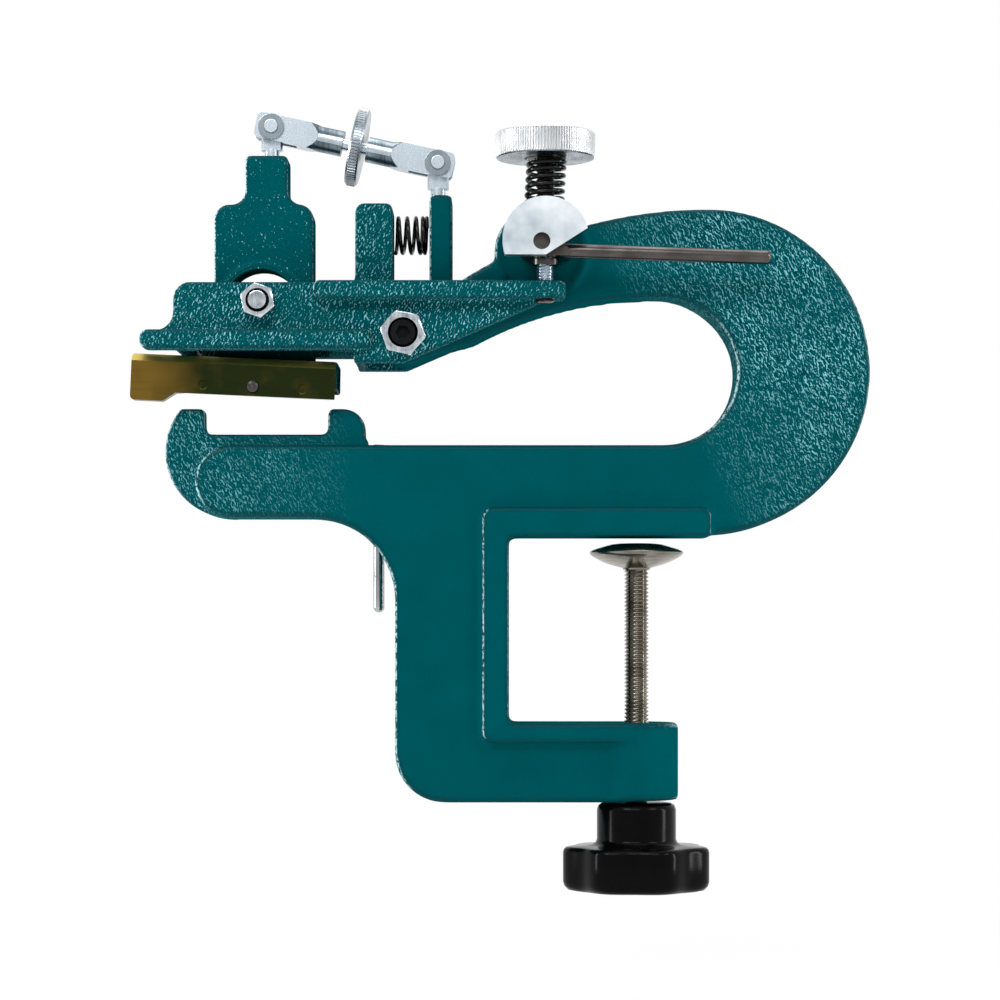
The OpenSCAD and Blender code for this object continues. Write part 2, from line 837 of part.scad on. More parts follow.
module coil(turns, r, l) {
    last = turns * rings_per_turn + 2;
    points = [for (i = [0 : last]) each coil_ring(i, turns, r, l)];
    side = [for (i = [0 : last - 1]) for (k = [0 : wire_sides - 1])
        let (a = i * wire_sides + k)
        let (b = i * wire_sides + (k + 1) % wire_sides)
        each [[a, b + wire_sides, b], [a, a + wire_sides, b + wire_sides]]];
    first_cap = [for (k = [1 : wire_sides - 2]) [0, k, k + 1]];
    last_cap = [for (k = [1 : wire_sides - 2])
        [last * wire_sides, last * wire_sides + k + 1, last * wire_sides + k]];
    polyhedron(points, concat(side, first_cap, last_cap));
}

// Least gap between turns: points of the centre line at least half a turn apart
function coil_gap(turns, r, l) =
    let (last = turns * rings_per_turn + 2)
    min([for (i = [0 : last - 5]) for (j = [i + 5 : last])
        norm(coil_point(i, turns, r, l) - coil_point(j, turns, r, l))]) - wire_d;

return_l = post_x - bracket_x - bracket_w - 0.1;
height_l = knob_z - cap_t - fit - spring_seat_z - 0.1;
echo(return_spring_gap = coil_gap(return_turns, (return_spring_d - wire_d) / 2, return_l));
echo(height_spring_gap = coil_gap(height_turns, (height_spring_d - wire_d) / 2, height_l));

module return_spring() {
    color("#161616")
    translate([bracket_x + bracket_w + 0.05, 0, return_spring_z])
        rotate([0, 90, 0])
            coil(return_turns, (return_spring_d - wire_d) / 2, return_l);
}

module height_spring() {
    color("#161616")
    translate([cam_x, stud_y, spring_seat_z + 0.05])
        coil(height_turns, (height_spring_d - wire_d) / 2, height_l);
}

// Blade carrier

// Turns what is drawn square to the bed by the bed's tilt about the hinge
module on_bed() {
    translate([tilt_x, 0, tilt_z])
        rotate([0, blade_tilt, 0])
            translate([-tilt_x, 0, -tilt_z])
                children();
}

module bottle() {
    body_left = tilt_x - carrier_w / 2 + 0.8;
    body_right = body_left + carrier_w;
    neck_left = (body_left + body_right) / 2 + 0.9 - neck_w / 2;
    neck_right = neck_left + neck_w;
    soft_rect(body_left, bed_top_z - 3, body_right, shoulder_z, [0, 0, shoulder_r, shoulder_r]);
    soft_rect(neck_left, shoulder_z - 6, neck_right, neck_top_z, [0, 0, 1.5, 1.5]);
    fillet(neck_left, shoulder_z, -1, 1, shoulder_r);
    fillet(neck_right, shoulder_z, 1, 1, shoulder_r);
}

module bed_side() {
    polygon([[bed_front_y, bed_low_z], [bed_rear_y, bed_low_z],
        [bed_rear_y - 4, bed_top_z], [bed_front_y, bed_top_z]]);
}

module tilt_carrier() {
    color("#0d6a6a")
    difference() {
        union() {
            plate(-carrier_t / 2, carrier_t / 2)
                bottle();
            on_bed()
                bar(bed_left_x, bed_right_x)
                    bed_side();
            shaft_y(tilt_x, tilt_z, 13.9, -carrier_t / 2 - 1.2, carrier_t / 2);
        }
        shaft_y(tilt_x, tilt_z, tilt_bush_d / 2 + fit, -carrier_t, carrier_t);
        // the bore is opened upwards, which leaves a crescent that shows over the front plate
        intersection() {
            shaft_y(tilt_x, tilt_z, bore_slot_r, -carrier_t, carrier_t);
            translate([tilt_x - bore_slot_r - 1, -carrier_t, tilt_z + 2])
                cube([2 * bore_slot_r + 2, 2 * carrier_t, bore_slot_r]);
        }
        translate([link_left_x, 0, neck_top_z - 8])
            cylinder(d = 4, h = 9);
        on_bed()
            for (x = [holder_screw_x(0), holder_screw_x(1)])
                translate([x, holder_screw_y, bed_low_z - 1])
                    cylinder(d = 3, h = 7);
    }
}

function holder_screw_x(i) = i == 0 ? bed_left_x + 10 : bed_right_x - 10;
holder_screw_y = -4.5;

module tilt_bolt() {
    color("#c0c4c6")
    union() {
        shaft_y(tilt_x, tilt_z, tilt_bolt_d / 2, -cheek_out - 6.5, cheek_out + 2);
        hex_y(tilt_x, tilt_z, tilt_nut_af, cheek_out + fit, cheek_out + 4, 0);
    }
}

module tilt_nut() {
    color("#c6cacc")
    difference() {
        intersection() {
            hex_y(tilt_x, tilt_z, tilt_nut_af, -cheek_out - 5, -cheek_out - fit, 20);
            translate([tilt_x, -cheek_out, tilt_z])
                rotate([90, 0, 0])
                    rotate_extrude()
                        polygon([[0, 0], [tilt_nut_af * 0.58, 0], [tilt_nut_af * 0.58, 4.1],
                            [tilt_nut_af * 0.48, 5], [0, 5]]);
        }
        shaft_y(tilt_x, tilt_z, tilt_bolt_d / 2, -cheek_out - 6, -cheek_out + 1);
    }
}

module tilt_bush() {
    color("#9c8a5a")
    difference() {
        shaft_y(tilt_x, tilt_z, tilt_bush_d / 2, -cheek_in + fit, cheek_in - fit);
        shaft_y(tilt_x, tilt_z, tilt_bolt_d / 2, -cheek_in - 1, cheek_in + 1);
    }
}

module holder_front() {
    foot_x = holder_left_x + 10.5;
    difference() {
        soft_rect(holder_left_x, holder_low_z - holder_foot, holder_right_x, holder_top_z,
            [1.5, 2, 0.8, 1]);
        polygon([[foot_x, holder_low_z - holder_foot - 1], [foot_x, holder_low_z - holder_foot],
            [foot_x + 4, holder_low_z], [holder_right_x + 1, holder_low_z],
            [holder_right_x + 1, holder_low_z - holder_foot - 1]]);
    }
}

module blade_holder() {
    color("#8a6f2e")
    on_bed()
        difference() {
            union() {
                plate(holder_front_y, bed_front_y - 0.05)
                    holder_front();
                translate([bed_left_x, bed_front_y - 1, holder_low_z])
                    cube([holder_right_x - bed_left_x, 10, lip_t]);
            }
            // bevel along the upper front edge
            translate([holder_left_x - 1, holder_front_y, holder_top_z - 2.4])
                rotate([-45, 0, 0])
                    translate([0, -8, 0])
                        cube([holder_right_x - holder_left_x + 2, 8, 8]);
            for (i = [-1 : 1])
                shaft_y(set_screw_x(i), set_screw_z, 1.5, holder_front_y - 1, bed_front_y + 1);
            for (i = [0 : 1])
                translate([holder_screw_x(i), holder_screw_y, holder_low_z - 1]) {
                    cylinder(d = 3, h = lip_t + 2);
                    cylinder(d = 5.6, h = 2.5);
                }
        }
}

module skiving_blade() {
    color("#d4d6d8")
    on_bed()
        difference() {
            bar(bed_left_x + 1, bed_right_x - 1)
                polygon([[blade_back_y, blade_z], [blade_back_y + blade_l, blade_z],
                    [blade_back_y + blade_l - 4, blade_z + blade_t], [blade_back_y, blade_z + blade_t]]);
            for (i = [0 : 1])
                translate([holder_screw_x(i), holder_screw_y, blade_z - 1])
                    cylinder(d = 3.4, h = blade_t + 2);
        }
}

function set_screw_x(i) = tilt_x - 1 + 16 * i;
set_screw_z = blade_z + blade_t / 2;

// Screws that push on the blade's back to set its edge
module set_screw(i, head) {
    color("#c9c5bb")
    on_bed()
        union() {
            shaft_y(set_screw_x(i), set_screw_z, 1.5, holder_front_y + 0.6, bed_front_y - fit);
            if (head)
                translate([set_screw_x(i), holder_front_y - 0.05, set_screw_z])
                    rotate([90, 0, 0])
                        rotate_extrude()
                            polygon([[0, -1], [1.4, -1], [1.4, 0], [2.1, 0], [1.8, 0.8], [1, 1.2],
                                [0, 1.3]]);
        }
}

module blade_set_screw_left() { set_screw(-1, false); }
module blade_set_screw_mid() { set_screw(0, true); }
module blade_set_screw_right() { set_screw(1, false); }

module holder_screw(i) {
    color("#8c8c8a")
    on_bed()
        translate([holder_screw_x(i), holder_screw_y, 0]) {
            translate([0, 0, holder_low_z + 0.5])
                cylinder(d = 3, h = lip_t + blade_t + 4.5);
            translate([0, 0, holder_low_z + 0.1])
                cylinder(d = 5.5, h = 1.4);
        }
}

module holder_screw_left() { holder_screw(0); }
module holder_screw_right() { holder_screw(1); }

// Tilt link

// Stands an eye stud on a flat top below its pin; play makes its hole long across the link
module eye(x, z, top, bore, play) {
    color("#bfc3c5")
    difference() {
        union() {
            shaft_y(x, z, 4, -eye_t / 2, eye_t / 2);
            intersection() {
                translate([x, 0, top + 2.4])
                    cylinder(d = 7, h = z - top - 2.4);
                translate([x - 4, -eye_t / 2, top])
                    cube([8, eye_t, z - top]);
            }
            translate([x, 0, top])
                cylinder(d = 4.9, h = 2.8);
            translate([x, 0, top - 7.5])
                cylinder(d = 4, h = 8);
        }
        plate(-eye_t, eye_t)
            translate([x, z])
                rotate(-link_slope) {
                    translate([0, play])
                        circle(d = bore);
                    translate([0, -play])
                        circle(d = bore);
                    if (play > 0)
                        square([bore, 2 * play], center = true);
                }
    }
}

// The left hole is long, as the link rises and falls a little when its length changes
module left_eye() { eye(link_left_x, link_left_z, neck_top_z, link_pin_d + 0.5, eye_play); }
module right_eye() { eye(link_right_x, link_right_z, post_top_z, link_pin_d + 2 * fit, 0); }

// Lays a piece drawn along X from the right pin, or back from the left one
module from_right() {
    translate([link_right_x, 0, link_right_z])
        rotate([0, 180 + link_slope, 0])
            children();
}

module from_left() {
    translate([link_left_x, 0, link_left_z])
        rotate([0, link_slope, 0])
            children();
}

module fork() {
    color("#c3c7c9")
    difference() {
        union() {
            // square head, turned to a cone where it meets the neck
            intersection() {
                plate(-fork_w / 2, fork_w / 2)
                    soft_rect(-5.2, -fork_w / 2, fork_block_l, fork_w / 2, [1.8, 0, 0, 1.8]);
                rotate([0, 90, 0])
                    rotate_extrude()
                        polygon([[0, -6], [fork_w * 0.75, -6], [fork_w * 0.75, fork_block_l - fork_cone_l],
                            [fork_w / 2, fork_block_l], [0, fork_block_l]]);
            }
            shaft_x(0, 0, fork_w / 2, fork_block_l - 0.5, fork_l);
        }
        translate([-6, -fork_slot / 2, -fork_w])
            cube([15, fork_slot, 2 * fork_w]);
        shaft_y(0, 0, link_pin_d / 2 + fit, -fork_w, fork_w);
        shaft_x(0, 0, wheel_stud_d / 2 + fit, 8, fork_l + 1);
    }
}

module right_fork() { from_right() fork(); }
module left_fork() { from_left() fork(); }

module link_pin() {
    color("#cfd2d4")
    union() {
        shaft_y(0, 0, link_pin_d / 2, -fork_w / 2 - 1.9, fork_w / 2 + 1.2);
        shaft_y(0, 0, link_pin_d / 2 + 1, fork_w / 2 + fit, fork_w / 2 + 1.2);
    }
}

module right_pin() { from_right() link_pin(); }
module left_pin() { from_left() link_pin(); }

module clip() {
    color("#a9adb0")
    difference() {
        shaft_y(0, 0, 4.2, -fork_w / 2 - 1.1, -fork_w / 2 - fit);
        shaft_y(0, 0, link_pin_d / 2, -fork_w / 2 - 2, -fork_w / 2 + 1);
    }
}

module right_clip() { from_right() clip(); }
module left_clip() { from_left() clip(); }

module tilt_wheel() {
    color("#c4c6c4")
    from_right()
        translate([wheel_u - wheel_t / 2, 0, 0])
            rotate([0, 90, 0])
                rotate_extrude()
                    polygon([[wheel_stud_d / 2, 0], [wheel_d / 2 - 1, 0], [wheel_d / 2, 1],
                        [wheel_d / 2, wheel_t - 1], [wheel_d / 2 - 1, wheel_t],
                        [wheel_stud_d / 2, wheel_t]]);
}

module tilt_stud() {
    color("#aeb2b4")
    from_right()
        shaft_x(0, 0, wheel_stud_d / 2, fork_l - 9, wheel_u + wheel_t / 2 + 12);
}

// Height adjuster

module height_knob() {
    color("#c6c8c6")
    translate([cam_x, stud_y, knob_z])
        rotate_extrude()
            polygon([[stud_d / 2, 0], [knob_d / 2 - 1, 0], [knob_d / 2, 1],
                [knob_d / 2, knob_t - 1], [knob_d / 2 - 1, knob_t], [stud_d / 2, knob_t]]);
}

module height_stud() {
    color("#a4a6a6")
    translate([cam_x, stud_y, tail_low_z - 1])
        cylinder(d = stud_d, h = knob_z + knob_t - tail_low_z + 1);
}

module stop_collar() {
    color("#242426")
    translate([cam_x, stud_y, collar_top_z - collar_h])
        difference() {
            cylinder(d = collar_d, h = collar_h);
            translate([0, 0, -1])
                cylinder(d = stud_d, h = collar_h + 2);
        }
}

module ring_washer(d, h) {
    difference() {
        cylinder(d = d, h = h);
        translate([0, 0, -1])
            cylinder(d = stud_d + 2 * run_gap, h = h + 2);
    }
}

module spring_cap() {
    color("#b4b8ba")
    translate([cam_x, stud_y, knob_z - cap_t - fit])
        ring_washer(height_spring_d - 0.8, cap_t);
}

// Flanged washer: its narrow neck rides on the lobes and its flange carries the spring
module saddle_washer() {
    color("#b4b8ba")
    translate([cam_x, stud_y, washer_z])
        union() {
            ring_washer(stud_d + 2.4, washer_neck_h + washer_t);
            translate([0, 0, washer_neck_h])
                ring_washer(height_spring_d - 0.8, washer_t);
        }
}

// Cam

module cam_disc() {
    difference() {
        circle(cam_disc_d / 2);
        translate([-cam_disc_d, -cam_disc_d - cam_flat])
            square([2 * cam_disc_d, cam_disc_d]);
        rotate(-57.6)
            translate([disc_cut, -cam_disc_d])
                square([cam_disc_d, 2 * cam_disc_d]);
        translate([-1.3, -0.5])
            circle(2.7);
    }
}

// The path that the stud takes through the cam, seen from the cam, as its lever swings:
// upright at first, and at the end turned back by the travel and moved along with the head
module stud_window() {
    half = stud_d / 2 + 0.5;
    far = 2 * lobe_r + 3;
    shift = (cam_z - head_z) * sin(head_swing);
    run = 90 - cam_travel - head_swing;
    along = [cos(run), sin(run)];
    out = [sin(run), -cos(run)];
    mid = shift * [cos(cam_travel), -sin(cam_travel)];
    low = mid + half * out;
    high = mid - half * out;
    plate(stud_y - window_y, stud_y + window_y)
        polygon([[-half, far],
            low + far * along,
            low + (half - low[0]) / along[0] * along,
            [half, -far],
            high - far * along,
            high - (half + high[0]) / along[0] * along]);
}

// Block on the cam that the lever is screwed into, flat where the collar and the washer pass
module lever_block() {
    intersection() {
        circle(8.9);
        rotate(-cam_travel / 2)
            translate([2, -10])
                square([10, 20]);
        translate([-10, 0.3 - cam_flat])
            square([20, 20]);
        rotate(-cam_travel)
            translate([-10, -20])
                square([20, 20 + cam_flat - 1.2]);
    }
}

// Lays a piece drawn along Z from the lever's root
module on_lever() {
    translate([lever_rod_x, lever_rod_y, lever_rod_z])
        rotate([0, 90 + lever_droop, 0])
            children();
}

module cam_barrel() {
    color("#c8cbcd")
    translate([cam_x, 0, cam_z])
        difference() {
            union() {
                plate(lobe_front_y - disc_t, lobe_front_y)
                    cam_disc();
                // eccentric lobes in front of and behind the stud, joined by what the window leaves
                shaft_y(lobe_e * cos(lobe_rest), lobe_e * sin(lobe_rest), lobe_r,
                    lobe_front_y - 0.5, lobe_rear_y);
                plate(lobe_front_y - 0.5, lobe_rear_y)
                    lever_block();
                shaft_y(0, 0, cam_journal_d / 2, lobe_rear_y - 0.5, web_y + 2.2);
            }
            stud_window();
            on_lever()
                cylinder(d = cam_lever_d, h = 20);
        }
}

module cam_lever() {
    color("#8f8983")
    translate([cam_x, 0, cam_z])
        difference() {
            union() {
                on_lever() {
                    cylinder(d = cam_lever_d, h = cam_lever_l + 3);
                    translate([0, 0, cam_lever_l + 2.95])
                        cylinder(d1 = cam_lever_d, d2 = cam_lever_d - 1.4, h = 0.9);
                }
            }
            stud_window();
        }
}

module cam_ring() {
    color("#77797b")
    translate([cam_x, 0, cam_z])
        difference() {
            shaft_y(0, 0, cam_journal_d / 2 + 2, web_y + fit, web_y + 1.2);
            shaft_y(0, 0, cam_journal_d / 2, web_y - 1, web_y + 3);
        }
}

c_frame();
clamp_screw();
clamp_pad();
star_knob();
roller_crank_left();
roller_crank_right();
roller_pin();
feed_roller();
roller_lever();
rocker_arm();
pivot_screw();
pivot_nut();
return_spring();
tilt_carrier();
tilt_bolt();
tilt_nut();
tilt_bush();
blade_holder();
skiving_blade();
blade_set_screw_left();
blade_set_screw_mid();
blade_set_screw_right();
holder_screw_left();
holder_screw_right();
left_eye();
right_eye();
right_fork();
right_pin();
right_clip();
left_fork();
left_pin();
left_clip();
tilt_wheel();
tilt_stud();
height_knob();
height_stud();
stop_collar();
spring_cap();
height_spring();
saddle_washer();
cam_barrel();
cam_lever();
cam_ring();
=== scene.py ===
"""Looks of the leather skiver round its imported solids: enamel, plated steel, brass, springs."""

import logging
import math
from collections.abc import Callable, Sequence
from dataclasses import dataclass
from enum import Enum

import bpy
import numpy as np
from mathutils import Matrix, Vector


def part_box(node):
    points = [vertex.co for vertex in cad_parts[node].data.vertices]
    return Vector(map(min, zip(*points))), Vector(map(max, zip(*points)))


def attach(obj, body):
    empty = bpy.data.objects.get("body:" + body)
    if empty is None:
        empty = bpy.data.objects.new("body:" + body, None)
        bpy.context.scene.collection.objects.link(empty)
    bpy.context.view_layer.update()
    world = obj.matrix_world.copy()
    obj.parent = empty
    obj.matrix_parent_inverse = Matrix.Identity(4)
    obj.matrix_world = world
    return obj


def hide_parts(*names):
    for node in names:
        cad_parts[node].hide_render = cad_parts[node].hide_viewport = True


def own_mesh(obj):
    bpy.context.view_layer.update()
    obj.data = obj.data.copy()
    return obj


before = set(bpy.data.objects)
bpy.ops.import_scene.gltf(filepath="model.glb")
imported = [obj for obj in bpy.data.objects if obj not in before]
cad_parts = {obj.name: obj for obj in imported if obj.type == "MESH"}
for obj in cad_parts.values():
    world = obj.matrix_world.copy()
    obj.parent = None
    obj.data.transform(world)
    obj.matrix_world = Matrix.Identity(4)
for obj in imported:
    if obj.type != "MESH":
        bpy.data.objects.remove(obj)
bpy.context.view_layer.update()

Piece = bpy.types.Object
Node = bpy.types.Node
Socket = bpy.types.NodeSocket
Span = tuple[float, float]
Triple = tuple[float, float, float]
Rule = Callable[[Vector], Vector]

MM = 0.001
EDGE = "edge"
GLINT = "glint"
UP, FRONT, RIGHT = Vector((0, 0, 1)), Vector((0, -1, 0)), Vector((1, 0, 0))
LOG = logging.getLogger("skiver")

WELD_MM = 0.002
FLAT_ANGLE = 0.8
SHARP_ANGLE = 35.0
THREAD_DEPTH = 0.54
COUNTERSINK_MM = 0.75
# How much of the painted highlight line an edge that faces left, right or up gets, and what is
# taken off.
GLINT_LEFT, GLINT_RIGHT, GLINT_UP, GLINT_LOSS = 1.25, 0.75, 0.2, 0.1


class Body(Enum):
    """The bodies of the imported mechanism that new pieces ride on."""

    FRAME = "frame"
    HEAD = "head"
    CARRIER = "carrier"
    CARRIER_HINGE = "carrier_hinge"
    LINK_REAR = "link_rear"
    LINK_WHEEL = "link_wheel"
    LINK_FRONT = "link_front"
    LIFT_CAM = "lift_cam"
    SPRING_SEAT = "spring_seat"
    HEIGHT_SCREW = "height_screw"
    SWIVEL_PAD = "swivel_pad"
    CLAMP_SPINDLE = "clamp_spindle"
    ROLLER_CRANK = "roller_crank"


class Slot(Enum):
    """The material slots of the record that finishes stand for."""

    ENAMEL = "enamel"
    NICKEL = "nickel_steel"
    PLASTIC = "black_plastic"
    BARE = "bare_steel"
    OXIDE = "black_oxide"
    ZINC = "zinc_steel"
    SPRING = "spring_wire"
    BRONZE = "bronze"
    BRASS = "antique_brass"
    BLADE = "blade_steel"
    KNURL = "knurled_steel"


def linear(hex_colour: str) -> tuple[float, float, float, float]:
    """Turns an sRGB hex colour into linear light.

    Args:
        hex_colour: six hex digits after a hash sign.

    Returns:
        The linear red, green and blue, with full alpha.
    """
    digits = hex_colour.lstrip("#")
    shares = [int(digits[i:i + 2], 16) / 255 for i in (0, 2, 4)]
    red, green, blue = (
        c / 12.92 if c <= 0.04045 else ((c + 0.055) / 1.055) ** 2.4 for c in shares)
    return (red, green, blue, 1.0)


WHITE = linear("#FFFFFF")


class Graph:
    """A node tree that is filled call by call; most calls give the socket to build on."""

    def __init__(self, owner: bpy.types.Material | bpy.types.World) -> None:
        """Takes a material's or a world's tree and empties it.

        Args:
            owner: the material or the world.
        """
        owner.use_nodes = True
        self.tree = owner.node_tree
        self.tree.nodes.clear()

    def add(self, kind: str, values: dict) -> Node:
        """Adds a node.

        Args:
            kind: the node's type, without the ShaderNode that all of them begin with.
            values: settings, or inputs by name or number, with a value or a socket for each.

        Returns:
            The new node.
        """
        node = self.tree.nodes.new(f"ShaderNode{kind}")
        for name, value in values.items():
            if isinstance(value, Socket):
                self.tree.links.new(value, node.inputs[name])
            elif isinstance(name, str) and hasattr(node, name):
                setattr(node, name, value)
            else:
                node.inputs[name].default_value = value
        return node

    def coords(self) -> Socket:
        """Gives the object's own coordinates, in metres."""
        return self.add("TexCoord", {}).outputs["Object"]

    def stretch(self, coords: Socket, size_mm: Triple, lean: float = 0.0) -> Socket:
        """Gives coordinates with one unit to a grain, which leans about Y in degrees."""
        values = {"vector_type": "TEXTURE", "Vector": coords,
                  "Rotation": (0.0, math.radians(lean), 0.0),
                  "Scale": tuple(size * MM for size in size_mm)}
        return self.add("Mapping", values).outputs["Vector"]

    def noise(self, coords: Socket, size: float, detail: float, ripple: float = 0.0) -> Socket:
        """Gives noise from 0 to 1 whose features are size across in the coordinates."""
        values = {"Vector": coords, "Scale": 1.0 / size, "Detail": detail, "Distortion": ripple}
        return self.add("TexNoise", values).outputs["Fac"]

    def remap(self, value: Socket, start: Span = (0.0, 1.0), end: Span = (0.0, 1.0)) -> Socket:
        """Maps a value from one range to another, whose limits may be sockets."""
        values = {"Value": value, "From Min": start[0], "From Max": start[1], "To Min": end[0],
                  "To Max": end[1]}
        return self.add("MapRange", values).outputs["Result"]

    def calc(self, operation: str, *terms: Socket | float, clamp: bool = False) -> Socket:
        """Gives what an operation makes of its terms, from 0 to 1 if clamped."""
        values = {"operation": operation, "use_clamp": clamp, **dict(enumerate(terms))}
        return self.add("Math", values).outputs["Value"]

    def mix(self, share: Socket, first: Socket | str, second: Socket | str) -> Socket:
        """Mixes two colours, sockets or hex, by the share of the second."""
        one, two = (linear(c) if isinstance(c, str) else c for c in (first, second))
        return self.add("Mix", {"data_type": "RGBA", 0: share, 6: one, 7: two}).outputs[2]

    def bump(self, height: Socket, depth_mm: float, strength: float) -> Socket:
        """Gives the normals of a relief, and strength says how much of it shows."""
        values = {"Height": height, "Distance": depth_mm * MM, "Strength": strength}
        return self.add("Bump", values).outputs["Normal"]


class Finish:
    """A surface finish, whose material is made once and shared."""

    label: str
    slot: Slot

    def shade(self, graph: Graph) -> Node:
        """Adds the finish's nodes to an empty graph and returns its shader."""
        raise NotImplementedError

    def material(self) -> bpy.types.Material:
        """Makes the material, or finds the one made before.

        Returns:
            The material of this finish.
        """
        material = bpy.data.materials.get(self.label)
        if material is None:
            material = bpy.data.materials.new(self.label)
            graph = Graph(material)
            graph.add("OutputMaterial", {"Surface": self.shade(graph).outputs["BSDF"]})
        return material


@dataclass(frozen=True)
class HammeredEnamel(Finish):
    """Stoved hammer enamel on cast iron: a pale painted highlight on one side of each wrinkle,
    painted shade on the other.
    """

    label: str
    slot: Slot = Slot.ENAMEL
    colour: str = "#00545A"
    deep: str = "#004A50"
    shadow: str = "#00363C"
    stroke_highlight_colour: str = "#8ECBD4"
    painted_edge_shade_colour: str = "#003F45"
    painted_glint_colour: str = "#B4DDE3"
    grain_mm: Span = (1.25, 2.4)
    lean: float = 20.0
    cover: Span = (0.03, 0.12)
    aside: Triple = (0.36, 0.2, 0.12)
    depth_mm: float = 0.08
    dent: float = 0.8
    patch_mm: float = 16.0
    drift: Span = (0.35, 0.6)
    least: float = 0.55
    slope: float = 0.0
    fade_mm: Span = (-400.0, -390.0)
    end_x_mm: Span = (-400.0, -410.0)
    ripple: float = 0.2
    edge_span: Span = (0.2, 0.7)
    edge_cover: float = 0.8
    glint_span: Span = (0.3, 0.75)
    glint_break: Span = (0.42, 0.56)
    rough: Span = (0.35, 0.55)
    coat: float = 0.12
    coat_from: float = 0.25
    coat_rough: float = 0.07
    ior: float = 1.5

    def shade(self, graph: Graph) -> Node:
        """Adds the enamel's nodes.

        Args:
            graph: the graph that takes them.

        Returns:
            The shader.
        """
        coords = graph.coords()
        # Slow patches make the ground drift between two near greens, as thicker and thinner paint.
        patches = graph.noise(coords, self.patch_mm * MM, 2.0)
        tint = graph.mix(patches, self.deep, self.colour)
        # Two samples of one wrinkle pattern tell its flanks apart: one gets painted shade, the
        # other a pale painted highlight.
        across, along = self.grain_mm
        lain = graph.stretch(coords, (across, across, along), self.lean)
        wrinkle = graph.noise(lain, 1.0, 1.0, self.ripple)
        step = graph.add("VectorMath", {"operation": "ADD", 0: lain, 1: self.aside})
        beside = graph.noise(step.outputs["Vector"], 1.0, 1.0, self.ripple)
        flank = graph.calc("SUBTRACT", wrinkle, beside)
        amount = self.add_amount(graph, coords, patches)
        low, high = self.cover
        for span, hue in (((-low, -high), self.shadow), ((low, high), self.stroke_highlight_colour)):
            share = graph.calc("MULTIPLY", graph.remap(flank, span), amount)
            tint = graph.mix(share, tint, hue)
        # Edges get painted shade, and those that face sideways have a broken painted highlight
        # line.
        edge, glint = (graph.add("Attribute", {"attribute_name": name}).outputs["Fac"]
                       for name in (EDGE, GLINT))
        thin = graph.remap(edge, self.edge_span, (0.0, self.edge_cover))
        tint = graph.mix(thin, tint, self.painted_edge_shade_colour)
        line = graph.calc("MULTIPLY", graph.remap(glint, self.glint_span),
                          graph.remap(wrinkle, self.glint_break))
        tint = graph.mix(line, tint, self.painted_glint_colour)
        return graph.add("BsdfPrincipled", {
            "Base Color": tint, "Roughness": graph.remap(wrinkle, end=self.rough),
            "IOR": self.ior, "Specular IOR Level": 0.0, "Coat IOR": self.ior,
            "Coat Weight": graph.remap(edge, (self.coat_from, 1.0), (0.0, self.coat)),
            "Coat Roughness": self.coat_rough,
            "Normal": graph.bump(wrinkle, self.depth_mm, self.dent)})

    def add_amount(self, graph: Graph, coords: Socket, patches: Socket) -> Socket:
        """Adds the nodes that say how strong the painted highlight and shade strokes are from place
        to place.

        Args:
            graph: the graph that takes them.
            coords: the surface coordinates.
            patches: slow variation.

        Returns:
            The strokes' strength.
        """
        place = graph.add("SeparateXYZ", {0: coords}).outputs
        height = graph.calc("MULTIPLY_ADD", place["X"], self.slope, place["Z"])
        fade = graph.remap(height, tuple(limit * MM for limit in self.fade_mm))
        end = graph.remap(place["X"], tuple(limit * MM for limit in self.end_x_mm))
        drift = graph.remap(patches, self.drift, (self.least, 1.0))
        return graph.calc("MULTIPLY", graph.calc("MAXIMUM", fade, end), drift)


@dataclass(frozen=True)
class MachinedMetal(Finish):
    """Bare or plated metal with tool marks: bright, with fine streaks along the cut."""

    label: str
    slot: Slot
    colour: str
    shade_colour: str
    rough: Span = (0.18, 0.32)
    streak_mm: Triple = (0.35, 7.0, 7.0)
    depth_mm: float = 0.006
    patch_mm: float = 9.0
    streak_share: float = 0.5
    dull_span: Span = (0.5, 1.0)

    def shade(self, graph: Graph) -> Node:
        """Adds the metal's nodes.

        Args:
            graph: the graph that takes them.

        Returns:
            The shader.
        """
        coords = graph.coords()
        # Streaks show which way the tool went, and patches dull the plating where it is older.
        streaks = graph.noise(graph.stretch(coords, self.streak_mm), 1.0, 3.0)
        patches = graph.noise(coords, self.patch_mm * MM, 3.0)
        blend = graph.calc("MULTIPLY_ADD", streaks, self.streak_share, patches)
        share = graph.remap(blend, self.dull_span)
        return graph.add("BsdfPrincipled", {
            "Metallic": 1.0, "Base Color": graph.mix(share, self.shade_colour, self.colour),
            "Roughness": graph.remap(share, end=self.rough[::-1]),
            "Normal": graph.bump(streaks, self.depth_mm, 0.6)})


